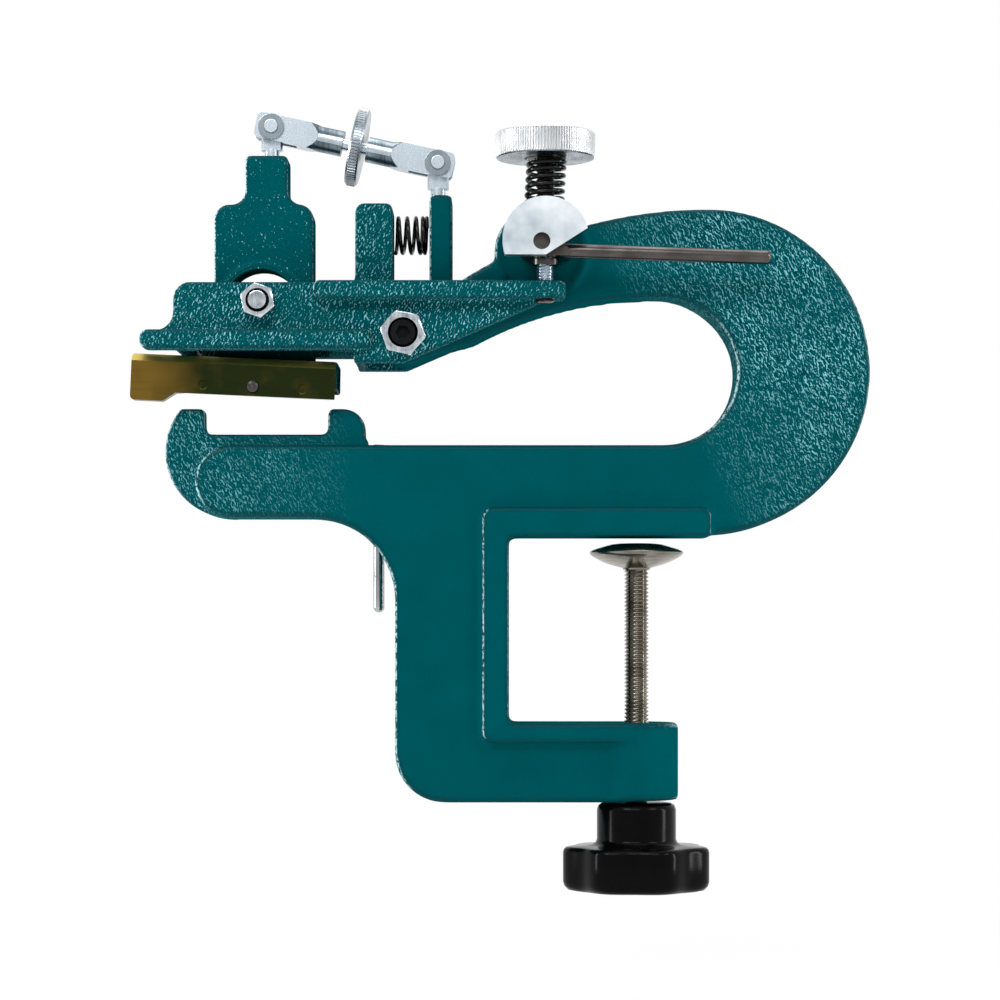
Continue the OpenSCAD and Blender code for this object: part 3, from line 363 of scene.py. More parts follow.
@dataclass(frozen=True)
class AntiqueBrass(Finish):
    """Drawn brass bar with brown patina: painted light at its warm left end, painted shade greenish
    black towards the right.
    """

    label: str
    slot: Slot = Slot.BRASS
    painted_lit_colour: str = "#745C26"
    far_end_colour: str = "#2C3018"
    dark: str = "#1E2A14"
    painted_lit_x_mm: float = -157.0
    far_end_x_mm: float = -139.0
    stain_mm: float = 7.0
    stain_reach: float = 0.7
    streak_mm: Triple = (14.0, 0.7, 0.7)
    rough: Span = (0.22, 0.38)
    depth_mm: float = 0.01

    def shade(self, graph: Graph) -> Node:
        """Adds the brass's nodes.

        Args:
            graph: the graph that takes them.

        Returns:
            The shader.
        """
        coords = graph.coords()
        # Stains blur the change from painted light to painted shade, and streaks lie along the bar
        # as it was drawn.
        stain = graph.noise(coords, self.stain_mm * MM, 4.0)
        streaks = graph.noise(graph.stretch(coords, self.streak_mm), 1.0, 3.0)
        end = graph.remap(graph.add("SeparateXYZ", {0: coords}).outputs["X"],
                          (self.painted_lit_x_mm * MM, self.far_end_x_mm * MM))
        stain_shift = graph.calc("MULTIPLY_ADD", stain, self.stain_reach, -self.stain_reach / 2)
        far_end_share = graph.calc("ADD", end, stain_shift, clamp=True)
        stained_far_end = graph.mix(stain, self.far_end_colour, self.dark)
        return graph.add("BsdfPrincipled", {
            "Metallic": 1.0, "Base Color": graph.mix(far_end_share, self.painted_lit_colour, stained_far_end),
            "Roughness": graph.remap(streaks, end=self.rough),
            "Normal": graph.bump(streaks, self.depth_mm, 0.5)})


@dataclass(frozen=True)
class BlackGloss(Finish):
    """Moulded phenolic or japanned wire: near black and glossy."""

    label: str
    slot: Slot
    colour: str = "#030303"
    dust: str = "#070708"
    rough: Span = (0.10, 0.24)
    ripple_mm: float = 4.0
    depth_mm: float = 0.03
    specular: float = 0.05
    ior: float = 1.55

    def shade(self, graph: Graph) -> Node:
        """Adds the nodes of the black finish.

        Args:
            graph: the graph that takes them.

        Returns:
            The shader.
        """
        # A faint ripple breaks up the highlights, and its hollows are a little duller.
        ripple = graph.noise(graph.coords(), self.ripple_mm * MM, 3.0)
        return graph.add("BsdfPrincipled", {
            "Base Color": graph.mix(ripple, self.colour, self.dust), "IOR": self.ior,
            "Specular IOR Level": self.specular, "Roughness": graph.remap(ripple, end=self.rough),
            "Normal": graph.bump(ripple, self.depth_mm, 0.4)})


# The frame's painted highlight and shade strokes grow stronger up the arm and towards its left end,
# as in the photograph.
FRAME_ENAMEL = HammeredEnamel("hammered_enamel_frame", grain_mm=(0.72, 1.35), lean=-20.0,
                              cover=(0.05, 0.17), slope=2.0, fade_mm=(68.0, 138.0),
                              end_x_mm=(-92.0, -158.0), stroke_highlight_colour="#7FC0CA", ripple=0.7)
# The head has short dense painted highlight strokes, the carrier a few round painted highlight
# dots.
HEAD_ENAMEL = HammeredEnamel("hammered_enamel_head", grain_mm=(0.66, 0.98), lean=28.0,
                             cover=(0.09, 0.2))
CARRIER_ENAMEL = HammeredEnamel("hammered_enamel_carrier", grain_mm=(0.75, 0.85), lean=0.0,
                                cover=(0.2, 0.31))
# The carrier's foot, which the photograph has in shade, is coloured dark as painted shade.
PAINTED_SHADE_ENAMEL = HammeredEnamel("hammered_enamel_painted_shade", colour="#03292B", deep="#021F21",
                               shadow="#011517", stroke_highlight_colour="#1F4A4C", painted_glint_colour="#1F4A4C",
                               grain_mm=(0.9, 1.0), cover=(0.2, 0.3))
# Plated steel is cool and bright: nuts glossier, the faced disc paler, turned rods darker.
ZINC = MachinedMetal("zinc_plated_steel", Slot.ZINC, "#D6E2EB", "#A3AFB8", (0.2, 0.36))
FACED = MachinedMetal("faced_zinc_plated_steel", Slot.ZINC, "#F0F6FA", "#94A2AC", (0.3, 0.42),
                      (9.0, 9.0, 9.0), patch_mm=11.0)
TURNED = MachinedMetal("turned_zinc_plated_steel", Slot.ZINC, "#93A1AA", "#4E5A62", (0.2, 0.34),
                       (0.5, 9.0, 9.0), depth_mm=0.02)
NUT = MachinedMetal("bright_zinc_plated_nut", Slot.ZINC, "#E2E9EE", "#8F9AA2", (0.1, 0.2),
                    patch_mm=3.0)
CLIP = MachinedMetal("spring_steel_clip", Slot.ZINC, "#A3AEB6", "#6C767E", (0.2, 0.34))
# Drawn, nickelled and blackened steel run from a clear shine to a soft black sheen.
CHROME = MachinedMetal("bright_drawn_steel", Slot.BARE, "#B9BBBD", "#8F9193", (0.08, 0.16),
                       (0.4, 0.4, 8.0))
NICKEL = MachinedMetal("nickel_plated_steel", Slot.NICKEL, "#A6A298", "#6C685F", (0.14, 0.28),
                       (7.0, 7.0, 0.4))
BARE = MachinedMetal("drawn_bare_steel", Slot.BARE, "#64605D", "#403C3A", (0.2, 0.3),
                     (8.0, 0.4, 0.4), depth_mm=0.012)
OXIDE = MachinedMetal("black_oxide_steel", Slot.OXIDE, "#222326", "#141517", (0.25, 0.42))
BRONZE = MachinedMetal("sintered_bronze", Slot.BRONZE, "#9A7440", "#7A5A30", (0.35, 0.5))
# Browned brass has painted light only at its left end; its top bevel is a pale, dull painted
# highlight.
BRASS = AntiqueBrass("browned_brass_painted_light_and_shade")
PAINTED_HIGHLIGHT_BRASS = AntiqueBrass("painted_highlight_brass", painted_lit_colour="#B5A258", far_end_colour="#9C8C49",
                            dark="#8A7C40", rough=(0.5, 0.62))
# The blade has a ground gleam, and knurls scatter light into a pale grey band.
BLADE = MachinedMetal("ground_blade_steel", Slot.BLADE, "#D8DADC", "#B4B8BC", (0.10, 0.2),
                      (0.3, 8.0, 8.0))
KNURL = MachinedMetal("knurled_plated_steel", Slot.KNURL, "#ECEDEE", "#C2C5C7", (0.3, 0.44))
ROLLED = MachinedMetal("rolled_knurl_steel", Slot.KNURL, "#B3BBC1", "#737B81", (0.2, 0.34))
# Moulded phenolic stays near black; japanned wire has thin highlights.
PHENOLIC = BlackGloss("moulded_phenolic", Slot.PLASTIC)
WIRE = BlackGloss("japanned_spring_wire", Slot.SPRING, rough=(0.12, 0.22), specular=0.22)


def isolate(piece: Piece) -> None:
    """Makes a piece the only selected and the active object.

    Args:
        piece: the piece.
    """
    bpy.ops.object.select_all(action="DESELECT")
    piece.select_set(True)
    bpy.context.view_layer.objects.active = piece


def edit(piece: Piece, action: str = "SELECT", kind: str = "VERT") -> None:
    """Opens a piece in edit mode.

    Args:
        piece: the piece.
        action: whether all of it is selected or none.
        kind: what is selected, points or edges.
    """
    isolate(piece)
    bpy.ops.object.mode_set(mode="EDIT")
    bpy.ops.mesh.select_mode(type=kind)
    bpy.ops.mesh.select_all(action=action)


def leave_edit() -> None:
    """Goes back to object mode."""
    bpy.ops.object.mode_set(mode="OBJECT")


def face_outwards() -> None:
    """Turns all faces of the open mesh outwards and goes back to object mode."""
    bpy.ops.mesh.select_all(action="SELECT")
    bpy.ops.mesh.normals_make_consistent(inside=False)
    leave_edit()


def smooth(piece: Piece, angle: float) -> None:
    """Shades a piece smooth, apart from edges sharper than angle in degrees."""
    isolate(piece)
    bpy.ops.object.shade_smooth_by_angle(angle=math.radians(angle))


def named(name: str) -> Piece:
    """Names the object that was added last, and its data.

    Args:
        name: the name.

    Returns:
        The object.
    """
    piece = bpy.context.object
    piece.name = piece.data.name = name
    return piece


def modify(piece: Piece, kind: str, **settings: object) -> None:
    """Adds a modifier and applies it.

    Args:
        piece: the piece that is changed.
        kind: the modifier's type name.
        **settings: the modifier's settings.
    """
    isolate(piece)
    modifier = piece.modifiers.new(kind.lower(), kind)
    for name, value in settings.items():
        setattr(modifier, name, value)
    bpy.ops.object.modifier_apply(modifier=modifier.name)


def copy_of(node: str, name: str) -> Piece:
    """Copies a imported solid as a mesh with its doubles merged.

    Args:
        node: the solid's name.
        name: the copy's name.

    Returns:
        The copy.
    """
    copy = bpy.data.objects.new(name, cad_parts[node].data.copy())
    bpy.context.scene.collection.objects.link(copy)
    copy.data.materials.clear()
    edit(copy)
    bpy.ops.mesh.customdata_custom_splitnormals_clear()
    bpy.ops.mesh.remove_doubles(threshold=WELD_MM * MM)
    leave_edit()
    return copy


def round_skin(skin: Piece, voxel_mm: float, passes: int) -> Piece:
    """Rounds the edges of a casting as a foundry pattern has them.

    Args:
        skin: the casting.
        voxel_mm: the size of the skin's cells.
        passes: how many times the skin is smoothed.

    Returns:
        The casting.
    """
    modify(skin, "REMESH", mode="VOXEL", voxel_size=voxel_mm * MM)
    modify(skin, "SMOOTH", factor=0.5, iterations=passes)
    bpy.ops.object.shade_smooth()
    return skin


def mark_edges(skin: Piece, bend_mm: float = 0.07) -> Piece:
    """Notes how far each point of a dense skin stands out, and which edges take a painted highlight
    line.

    Args:
        skin: the casting.
        bend_mm: how far a point on a full edge stands out from its neighbours.

    Returns:
        The casting.
    """
    mesh = skin.data
    places = np.empty(3 * len(mesh.vertices))
    facing = np.empty(3 * len(mesh.vertices))
    ends = np.empty(2 * len(mesh.edges), dtype=np.int64)
    mesh.vertices.foreach_get("co", places)
    mesh.vertices.foreach_get("normal", facing)
    mesh.edges.foreach_get("vertices", ends)
    places, facing = places.reshape(-1, 3), facing.reshape(-1, 3)
    one, other = ends.reshape(-1, 2).T
    pull = np.zeros_like(places)
    np.add.at(pull, one, places[other] - places[one])
    np.add.at(pull, other, places[one] - places[other])
    ties = np.bincount(ends, minlength=len(places))
    bend = -(pull * facing).sum(axis=1) / np.maximum(ties, 1)
    edge = np.clip(bend / (bend_mm * MM), 0.0, 1.0)
    left, right = np.maximum(-facing[:, 0], 0.0), np.maximum(facing[:, 0], 0.0)
    lit = GLINT_LEFT * left + GLINT_RIGHT * right + GLINT_UP * facing[:, 2] - GLINT_LOSS
    for name, values in ((EDGE, edge), (GLINT, edge * np.clip(lit, 0.0, 1.0))):
        attribute = mesh.attributes.new(name, "FLOAT", "POINT")
        attribute.data.foreach_set("value", values)
    return skin


def broken_edges(node: str, name: str, width_mm: float) -> Piece:
    """Copies a machined solid and breaks its sharp edges with a small round.

    Args:
        node: the solid's name.
        name: the new piece's name.
        width_mm: the width of the broken edge.

    Returns:
        The new piece.
    """
    piece = copy_of(node, name)
    edit(piece)
    bpy.ops.mesh.dissolve_limited(angle_limit=math.radians(FLAT_ANGLE))
    leave_edit()
    modify(piece, "BEVEL", width=width_mm * MM, segments=2, limit_method="ANGLE",
           angle_limit=math.radians(SHARP_ANGLE), use_clamp_overlap=True)
    smooth(piece, SHARP_ANGLE)
    modify(piece, "WEIGHTED_NORMAL", keep_sharp=True)
    return piece


def drawn(point: Vector, size: float) -> Vector:
    """Gives a point whose distance from the Z axis is multiplied by size."""
    return Vector((point.x * size, point.y * size, point.z))


def shape_points(piece: Piece, rule: Rule) -> None:
    """Moves each point of a piece.

    Args:
        piece: the piece.
        rule: gives a point's new place from its old one, in metres.
    """
    for point in piece.data.vertices:
        point.co = rule(point.co)
    piece.data.update()


def turned(name: str, rings: Sequence[Span], sides: int, angle: float = 40.0,
           rule: Rule | None = None) -> Piece:
    """Turns a closed round piece about Z by extruding and sizing one ring after another.

    Args:
        name: the piece's name.
        rings: radius and height of each ring in millimetres, from one end to the other.
        sides: the number of corners of each ring.
        angle: edges sharper than this many degrees stay sharp.
        rule: shapes the points of a piece that isn't round all over.

    Returns:
        The piece, still at its turning place.
    """
    first, low = rings[0]
    bpy.ops.mesh.primitive_circle_add(vertices=sides, radius=first * MM, fill_type="NGON")
    piece = named(name)
    edit(piece)
    bpy.ops.transform.translate(value=(0, 0, low * MM))
    for (old_r, old_z), (new_r, new_z) in zip(rings, rings[1:]):
        bpy.ops.mesh.extrude_region_move(
            TRANSFORM_OT_translate={"value": (0, 0, (new_z - old_z) * MM)})
        size = new_r / old_r
        bpy.ops.transform.resize(value=(size, size, 1), center_override=(0, 0, new_z * MM))
    face_outwards()
    if rule is not None:
        shape_points(piece, rule)
    smooth(piece, angle)
    return piece


def lay(piece: Piece, origin: Vector, along: Vector) -> None:
    """Lays a piece that was made about Z at its place, with the place in its mesh.

    Args:
        piece: the piece.
        origin: where its own origin goes, in metres.
        along: the direction that its Z axis takes.
    """
    turn = UP.rotation_difference(along.normalized()).to_matrix().to_4x4()
    piece.data.transform(Matrix.Translation(origin) @ turn)
    piece.data.update()


def middle(node: str) -> Vector:
    """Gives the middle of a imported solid's box."""
    low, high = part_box(node)
    return (Vector(low) + Vector(high)) / 2


def from_axis(at: Vector, x: float, z: float) -> float:
    """Gives how far a point is from an axis along Y, all in millimetres."""
    return math.hypot(at.x - x, at.z - z)


def torus_arc(name: str, radii_mm: Span, steps: tuple[int, int], centre: Vector,
              kept: Callable[[Vector], bool]) -> Piece:
    """Makes what is kept of a ring that faces the front, with closed ends.

    Args:
        name: the piece's name.
        radii_mm: the radii of the ring and of its wire.
        steps: the corners round the ring and round its wire.
        centre: the ring's middle, in metres.
        kept: says of a point in millimetres whether it stays.

    Returns:
        The arcs.
    """
    ring_r, wire_r = radii_mm
    bpy.ops.mesh.primitive_torus_add(major_radius=ring_r * MM, minor_radius=wire_r * MM,
                                     major_segments=steps[0], minor_segments=steps[1])
    arc = named(name)
    lay(arc, centre, FRONT)
    edit(arc, "DESELECT")
    leave_edit()
    for point in arc.data.vertices:
        point.select = not kept(point.co / MM)
    bpy.ops.object.mode_set(mode="EDIT")
    bpy.ops.mesh.delete(type="VERT")
    bpy.ops.mesh.select_all(action="SELECT")
    bpy.ops.mesh.fill_holes(sides=0)
    face_outwards()
    return arc


def rod_along(node: str, name: str, tip_mm: float) -> Piece:
    """Turns a smooth rod with a rounded tip where a packed rod lies along X.

    Args:
        node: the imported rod.
        name: the new piece's name.
        tip_mm: how long the rounding of its free end is.

    Returns:
        The rod.
    """
    end_mm, flat_share, steps = 0.6, 0.45, 6
    points = [point.co.copy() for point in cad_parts[node].data.vertices]
    ends = []
    for stop in (min(point.x for point in points), max(point.x for point in points)):
        ring = [point for point in points if abs(point.x - stop) < end_mm * MM]
        ends.append(sum(ring, Vector()) / len(ring))
    line = ends[1] - ends[0]
    along = line.normalized()
    radius = max((point - ends[0] - along * (point - ends[0]).dot(along)).length
                 for point in points) / MM
    start = line.length / MM - tip_mm
    rings = [(radius, 0.0), (radius, start)]
    for angle in (math.pi / 2 * k / steps for k in range(1, steps + 1)):
        rings.append((radius * (1 - (1 - flat_share) * (1 - math.cos(angle))),
                      start + tip_mm * math.sin(angle)))
    rod = turned(name, rings, 40)
    lay(rod, ends[0], along)
    return rod


def threaded(name: str, radius_mm: float, pitch_mm: float, length_mm: float) -> Piece:
    """Cuts a threaded rod: one pitch is shaped and repeated along the rod.

    Args:
        name: the piece's name.
        radius_mm: the outer radius.
        pitch_mm: the height of one turn.
        length_mm: the rod's length, rounded down to whole turns.

    Returns:
        The rod, standing on the origin.
    """
    sides, cuts, flank, crest = 28, 5, 1.4, 0.2
    bpy.ops.mesh.primitive_cylinder_add(vertices=sides, radius=radius_mm * MM,
                                        depth=pitch_mm * MM, end_fill_type="NOTHING")
    rod = named(name)
    edit(rod, "DESELECT", "EDGE")
    leave_edit()
    for edge in rod.data.edges:
        a, b = (rod.data.vertices[i].co for i in edge.vertices)
        edge.select = abs(a.z - b.z) > 0.5 * pitch_mm * MM
    bpy.ops.object.mode_set(mode="EDIT")
    bpy.ops.mesh.subdivide(number_cuts=cuts)
    leave_edit()

    def groove(point: Vector) -> Vector:
        """Draws a point in by the thread's depth at its angle and height."""
        turn = (point.z / (pitch_mm * MM) - math.atan2(point.y, point.x) / math.tau) % 1.0
        share = 1.0 - min(1.0, max(0.0, abs(2.0 * turn - 1.0) * flank - crest))
        size = 1.0 - THREAD_DEPTH * pitch_mm * share / radius_mm
        return drawn(point, size) + UP * (0.5 * pitch_mm * MM)

    shape_points(rod, groove)
    modify(rod, "ARRAY", count=int(length_mm / pitch_mm), use_relative_offset=False,
           use_constant_offset=True, constant_offset_displace=(0, 0, pitch_mm * MM),
           use_merge_vertices=True, merge_threshold=WELD_MM * 1.5 * MM)
    edit(rod, "DESELECT")
    bpy.ops.mesh.select_non_manifold(extend=False)
    bpy.ops.mesh.edge_face_add()
    face_outwards()
    smooth(rod, 50.0)
    return rod


def knurled(name: str, radius_mm: float, height_mm: float, teeth: int, depth_mm: float,
            rim_mm: float, inner: Sequence[Span] = (), under: Sequence[Span] = ()) -> Piece:
    """Rolls a straight-knurled round piece about Z, standing on the origin.

    Args:
        name: the piece's name.
        radius_mm: the radius over the teeth.
        height_mm: the piece's height.
        teeth: the number of teeth.
        depth_mm: how deep the teeth are.
        rim_mm: the chamfer at both rims.
        inner: more rings on the top face, radius and height, from the rim inwards.
        under: more rings on the bottom face, from the middle outwards.

    Returns:
        The piece.
    """
    corners, lip_in, lip_out, valley = 4, 0.25, 0.15, 0.85
    top = height_mm - rim_mm
    rings = [*under, (radius_mm - rim_mm, 0.0), (radius_mm - lip_in, rim_mm - lip_out),
             (radius_mm, rim_mm), (radius_mm, top), (radius_mm - lip_in, top + lip_out),
             (radius_mm - rim_mm, height_mm), *inner]

    def tooth(point: Vector) -> Vector:
        """Draws every valley of the band in by the teeth's depth."""
        radius = math.hypot(point.x, point.y)
        if radius < (radius_mm - lip_in / 5) * MM:
            return point
        step = round(math.atan2(point.y, point.x) / math.tau * teeth * corners) % corners
        return drawn(point, 1.0 - (0.0, 0.0, valley, valley)[step] * depth_mm * MM / radius)

    return turned(name, rings, teeth * corners, 22.0, tooth)


def wound(name: str, radius_mm: float, wire_mm: float, length_mm: float, turns: float,
          closed: Span, lean_mm: float = 0.0) -> Piece:
    """Winds an open coil spring about Z with closed ends, standing on the origin.

    Args:
        name: the piece's name.
        radius_mm: the radius at the middle of the wire.
        wire_mm: the wire's diameter.
        length_mm: the spring's length over its ends.
        turns: the number of turns, closed ends included.
        closed: the turns at the foot and at the top that lie close.
        lean_mm: how far the top stands to the +X side of the foot.

    Returns:
        The piece.
    """
    steps_a_turn, close_share = 40, 1.03
    steps = int(turns * steps_a_turn)
    low, high = wire_mm / 2, length_mm - wire_mm / 2
    foot, top = closed
    pitch = wire_mm * close_share

    def height(turn: float) -> float:
        """Gives the wire's height at a turn of the winding."""
        if turn < foot:
            return low + pitch * turn
        if turn > turns - top:
            return high - pitch * (turns - turn)
        open_mm = high - low - pitch * (foot + top)
        return low + pitch * foot + open_mm * (turn - foot) / (turns - foot - top)

    bpy.ops.curve.primitive_nurbs_path_add()
    coil = named(name)
    path = coil.data
    path.splines.clear()
    line = path.splines.new("POLY")
    line.points.add(steps)
    for i, point in enumerate(line.points):
        turn = turns * i / steps
        rise = height(turn)
        lean = lean_mm * (rise / length_mm - 0.5)
        angle = math.tau * turn
        point.co = ((radius_mm * math.cos(angle) + lean) * MM, radius_mm * math.sin(angle) * MM,
                    rise * MM, 1.0)
    path.dimensions = "3D"
    path.bevel_depth = wire_mm / 2 * MM
    path.bevel_resolution = 3
    path.use_fill_caps = True
    isolate(coil)
    bpy.ops.object.convert(target="MESH")
    coil = bpy.context.object
    coil.data.materials.clear()
    edit(coil)
    bpy.ops.mesh.remove_doubles(threshold=WELD_MM / 2 * MM)
    face_outwards()
    smooth(coil, 45.0)
    return coil


def settle(piece: Piece, body: Body, finish: Finish, *nodes: str) -> Piece:
    """Gives a new piece its finish and its body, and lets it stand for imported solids.

    Args:
        piece: the new piece.
        body: the body it rides on.
        finish: its finish.
        *nodes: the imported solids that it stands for.

    Returns:
        The piece.
    """
    piece.data.materials.clear()
    piece.data.materials.append(finish.material())
    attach(piece, body.value)
    if nodes:
        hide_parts(*nodes)
    LOG.info("%s rides on %s with %d faces", piece.name, body.value, len(piece.data.polygons))
    return piece


def trim(node: str, name: str, width_mm: float, body: Body, finish: Finish) -> Piece:
    """Puts a copy with broken edges in a machined solid's place, and gives it."""
    return settle(broken_edges(node, name, width_mm), body, finish, node)


def part_finish(piece: Piece, finish: Finish, test: Callable[[Vector, Vector], bool]) -> None:
    """Gives some faces of a piece a finish of their own.

    Args:
        piece: the piece, which has its main finish already.
        finish: the other finish.
        test: picks the faces by their middle in millimetres and their normal.
    """
    piece.data.materials.append(finish.material())
    for face in piece.data.polygons:
        if test(face.center / MM, face.normal):
            face.material_index = 1


def dress(finish: Finish, *nodes: str) -> None:
    """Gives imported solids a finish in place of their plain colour.

    Args:
        finish: the finish.
        *nodes: the solids' names.
    """
    for node in nodes:
        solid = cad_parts[node]
        if not solid.material_slots:
            solid.data.materials.append(None)
        for slot in solid.material_slots:
            slot.material = finish.material()
        LOG.info("%s is dressed in %s", node, finish.label)


def add_nut(node: str, name: str, body: Body, form: Triple) -> None:
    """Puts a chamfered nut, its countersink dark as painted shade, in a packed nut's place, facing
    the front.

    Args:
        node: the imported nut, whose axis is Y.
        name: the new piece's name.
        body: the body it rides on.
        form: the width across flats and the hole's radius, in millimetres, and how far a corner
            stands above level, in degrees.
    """
    flats_mm, bore_mm, turn = form
    low, high = (Vector(corner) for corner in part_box(node))
    axis = middle(node)
    height = (high.y - low.y) / MM
    half, sixth, steps = math.radians(30), math.radians(60), 6
    face_share, slope, sink_mm, back_mm = 0.94, 0.65, 0.9, 0.4
    flat = flats_mm / 2
    corner = flat / math.cos(half)
    face = face_share * flat
    chamfer = corner - face
    rise = chamfer * slope
    rings = [(corner, 0.0), (corner, height - rise)]
    rings += [(corner - chamfer * k / steps, height - rise + rise * k / steps)
              for k in range(1, steps + 1)]
    rings += [(face - 0.15, height), (bore_mm + COUNTERSINK_MM, height),
              (bore_mm, height - sink_mm), (bore_mm, back_mm)]

    def cut_flats(point: Vector) -> Vector:
        """Draws a point in to the nearest flat."""
        off = (math.atan2(point.y, point.x) - math.radians(turn)) % sixth - half
        return drawn(point, min(1.0, flat * MM / math.cos(off) / math.hypot(point.x, point.y)))

    nut = turned(name, rings, 72, 25.0, cut_flats)
    lay(nut, Vector((axis.x, high.y, axis.z)), FRONT)
    settle(nut, body, NUT, node)
    # The countersink is dark bare steel as painted shade.
    part_finish(nut, BARE, lambda at, normal: (
        from_axis(at, axis.x / MM, axis.z / MM) < bore_mm + COUNTERSINK_MM))


@dataclass
class ClampFrame:
    """The cast C-frame with its link post, the boss behind the cam and the post's eye stud."""

    voxel_mm: float = 0.86
    passes: int = 8
    edge_bend_mm: float = 0.09
    eye_edge: float = 0.35
    boss_at: Triple = (-31.0, -10.8, 91.5)
    boss_radii: Span = (13.9, 1.5)
    rim_z: Span = (82.8, 99.0)
    rim_right_x: float = -22.0
    arm_x: Span = (-68.0, 24.0)
    arm_z: Span = (54.0, 92.0)
    arm_run: Span = (8.0, 20.0)
    arm_front_y: float = -11.0
    arm_deep: float = 22.0
    arm_draft_mm: float = 1.5
    front_share: float = 0.35

    def build(self) -> None:
        """Adds the boss's rim to the casting, rounds it and trims the eye stud."""
        casting = copy_of("c_frame", "frame_casting")
        rim = self.add_boss_rim()
        isolate(casting)
        rim.select_set(True)
        bpy.ops.object.join()
        round_skin(casting, self.voxel_mm, self.passes)
        self.draft_arm(casting)
        settle(mark_edges(casting, self.edge_bend_mm), Body.FRAME, FRAME_ENAMEL, "c_frame")
        trim("right_eye", "right_eye_stud", self.eye_edge, Body.FRAME, ZINC)

    def add_boss_rim(self) -> Piece:
        """Turns the boss's raised rim, except where the head's tail and the height screw stand.

        Returns:
            The rim's two arcs.
        """
        low, high = self.rim_z
        return torus_arc("boss_rim", self.boss_radii, (120, 16), Vector(self.boss_at) * MM,
                         lambda at: at.z < high and (
                             at.x > self.rim_right_x or at.x < self.boss_at[0] and at.z > low))

    def draft_arm(self, casting: Piece) -> None:
        """Draws the upper arm's underside up towards the back, as the pattern's draft does.

        Args:
            casting: the rounded casting.
        """
        facing = [point.normal.z for point in casting.data.vertices]
        (low_x, high_x), (low_z, high_z) = self.arm_x, self.arm_z
        left_run, right_run = self.arm_run
        for point, down in zip(casting.data.vertices, facing):
            x, y, z = point.co / MM
            if down < 0.0 and low_x < x < high_x and low_z < z < high_z:
                ends = min(1.0, (x - low_x) / left_run, (high_x - x) / right_run)
                back = min(1.0, max(0.0, (y - self.arm_front_y) / self.arm_deep))
                share = self.front_share + (1.0 - self.front_share) * back
                point.co.z -= down * ends * self.arm_draft_mm * share * MM
        casting.data.update()


@dataclass
class BenchClamp:
    """The clamp screw, its swivel pad and the star knob."""

    screw_r: float = 4.0
    pitch: float = 1.25
    screw_z: Span = (-111.1, -5.65)
    star_r: float = 24.2
    hub_r: float = 12.9
    hub_h: float = 14.2
    lobes: int = 7
    lobe_at: float = -69.0
    flute_mm: float = 2.3
    flute_from: float = 13.6

    def build(self) -> None:
        """Cuts the screw's thread, turns the pad and moulds the star grip."""
        low, high = self.screw_z
        screw = threaded("clamp_spindle_screw", self.screw_r, self.pitch, high - low)
        lay(screw, UP * (low * MM), UP)
        settle(screw, Body.CLAMP_SPINDLE, NICKEL, "clamp_screw")
        self.build_pad()
        self.build_star()

    def build_pad(self) -> None:
        """Turns the pad as one flared dish with a thin rim and a crowned top."""
        low, high = (corner[2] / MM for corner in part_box("clamp_pad"))
        height = high - low
        rings = ((4.35, 0.0), (4.5, 0.5), (5.2, 0.75), (7.0, 1.2), (9.0, 1.8), (11.0, 2.6),
                 (13.0, 3.6), (14.4, 4.45), (15.1, 5.1), (15.3, 5.6), (15.0, 6.05), (13.6, 6.7),
                 (11.0, 7.5), (8.5, height - 0.3), (6.0, height))
        pad = turned("swivel_pad_dish", rings, 96)
        lay(pad, UP * (low * MM), UP)
        settle(pad, Body.SWIVEL_PAD, NICKEL, "clamp_pad")

    def build_star(self) -> None:
        """Moulds the star grip: a hub on a flange whose rim waves in and out."""
        low, high = (corner[2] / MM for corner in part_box("star_knob"))
        top = high - low
        base = top - self.hub_h
        rim, hub = self.star_r, self.hub_r
        rings = ((9.0, 0.3), (12.0, 0.0), (rim - 4.0, 0.0), (rim - 1.6, 0.5), (rim - 0.4, 1.8),
                 (rim, 3.2), (rim, base - 1.8), (rim - 0.3, base - 0.8), (rim - 1.0, base - 0.2),
                 (rim - 2.2, base), (17.0, base + 0.3), (14.6, base + 0.6), (13.4, base + 1.2),
                 (hub, base + 2.2), (hub, top - 2.2), (hub - 0.5, top - 0.9),
                 (hub - 1.5, top - 0.2), (hub - 3.0, top), (6.0, top))

        def flute(point: Vector) -> Vector:
            """Draws the flange in between its lobes."""
            radius = math.hypot(point.x, point.y) / MM
            reach = min(1.0, max(0.0, (radius - self.flute_from) / (rim - self.flute_from)))
            angle = math.atan2(point.y, point.x) - math.radians(self.lobe_at)
            wave = 0.5 - 0.5 * math.cos(self.lobes * angle)
            return drawn(point, 1.0 - self.flute_mm * reach * wave / max(radius, 1.0))

        star = turned("star_grip", rings, 168, rule=flute)
        lay(star, UP * (low * MM), UP)
        settle(star, Body.CLAMP_SPINDLE, PHENOLIC, "star_knob")


@dataclass
class RollerSet:
    """The feed roller in its cranks with the lever rod."""

    edge_mm: float = 0.3

    def build(self) -> None:
        """Breaks the edges of the cranks and dresses the roller."""
        for side in ("left", "right"):
            trim(f"roller_crank_{side}", f"{side}_roller_crank", self.edge_mm, Body.ROLLER_CRANK,
                 ZINC)
        dress(BARE, "roller_pin", "feed_roller")
        dress(CHROME, "roller_lever")


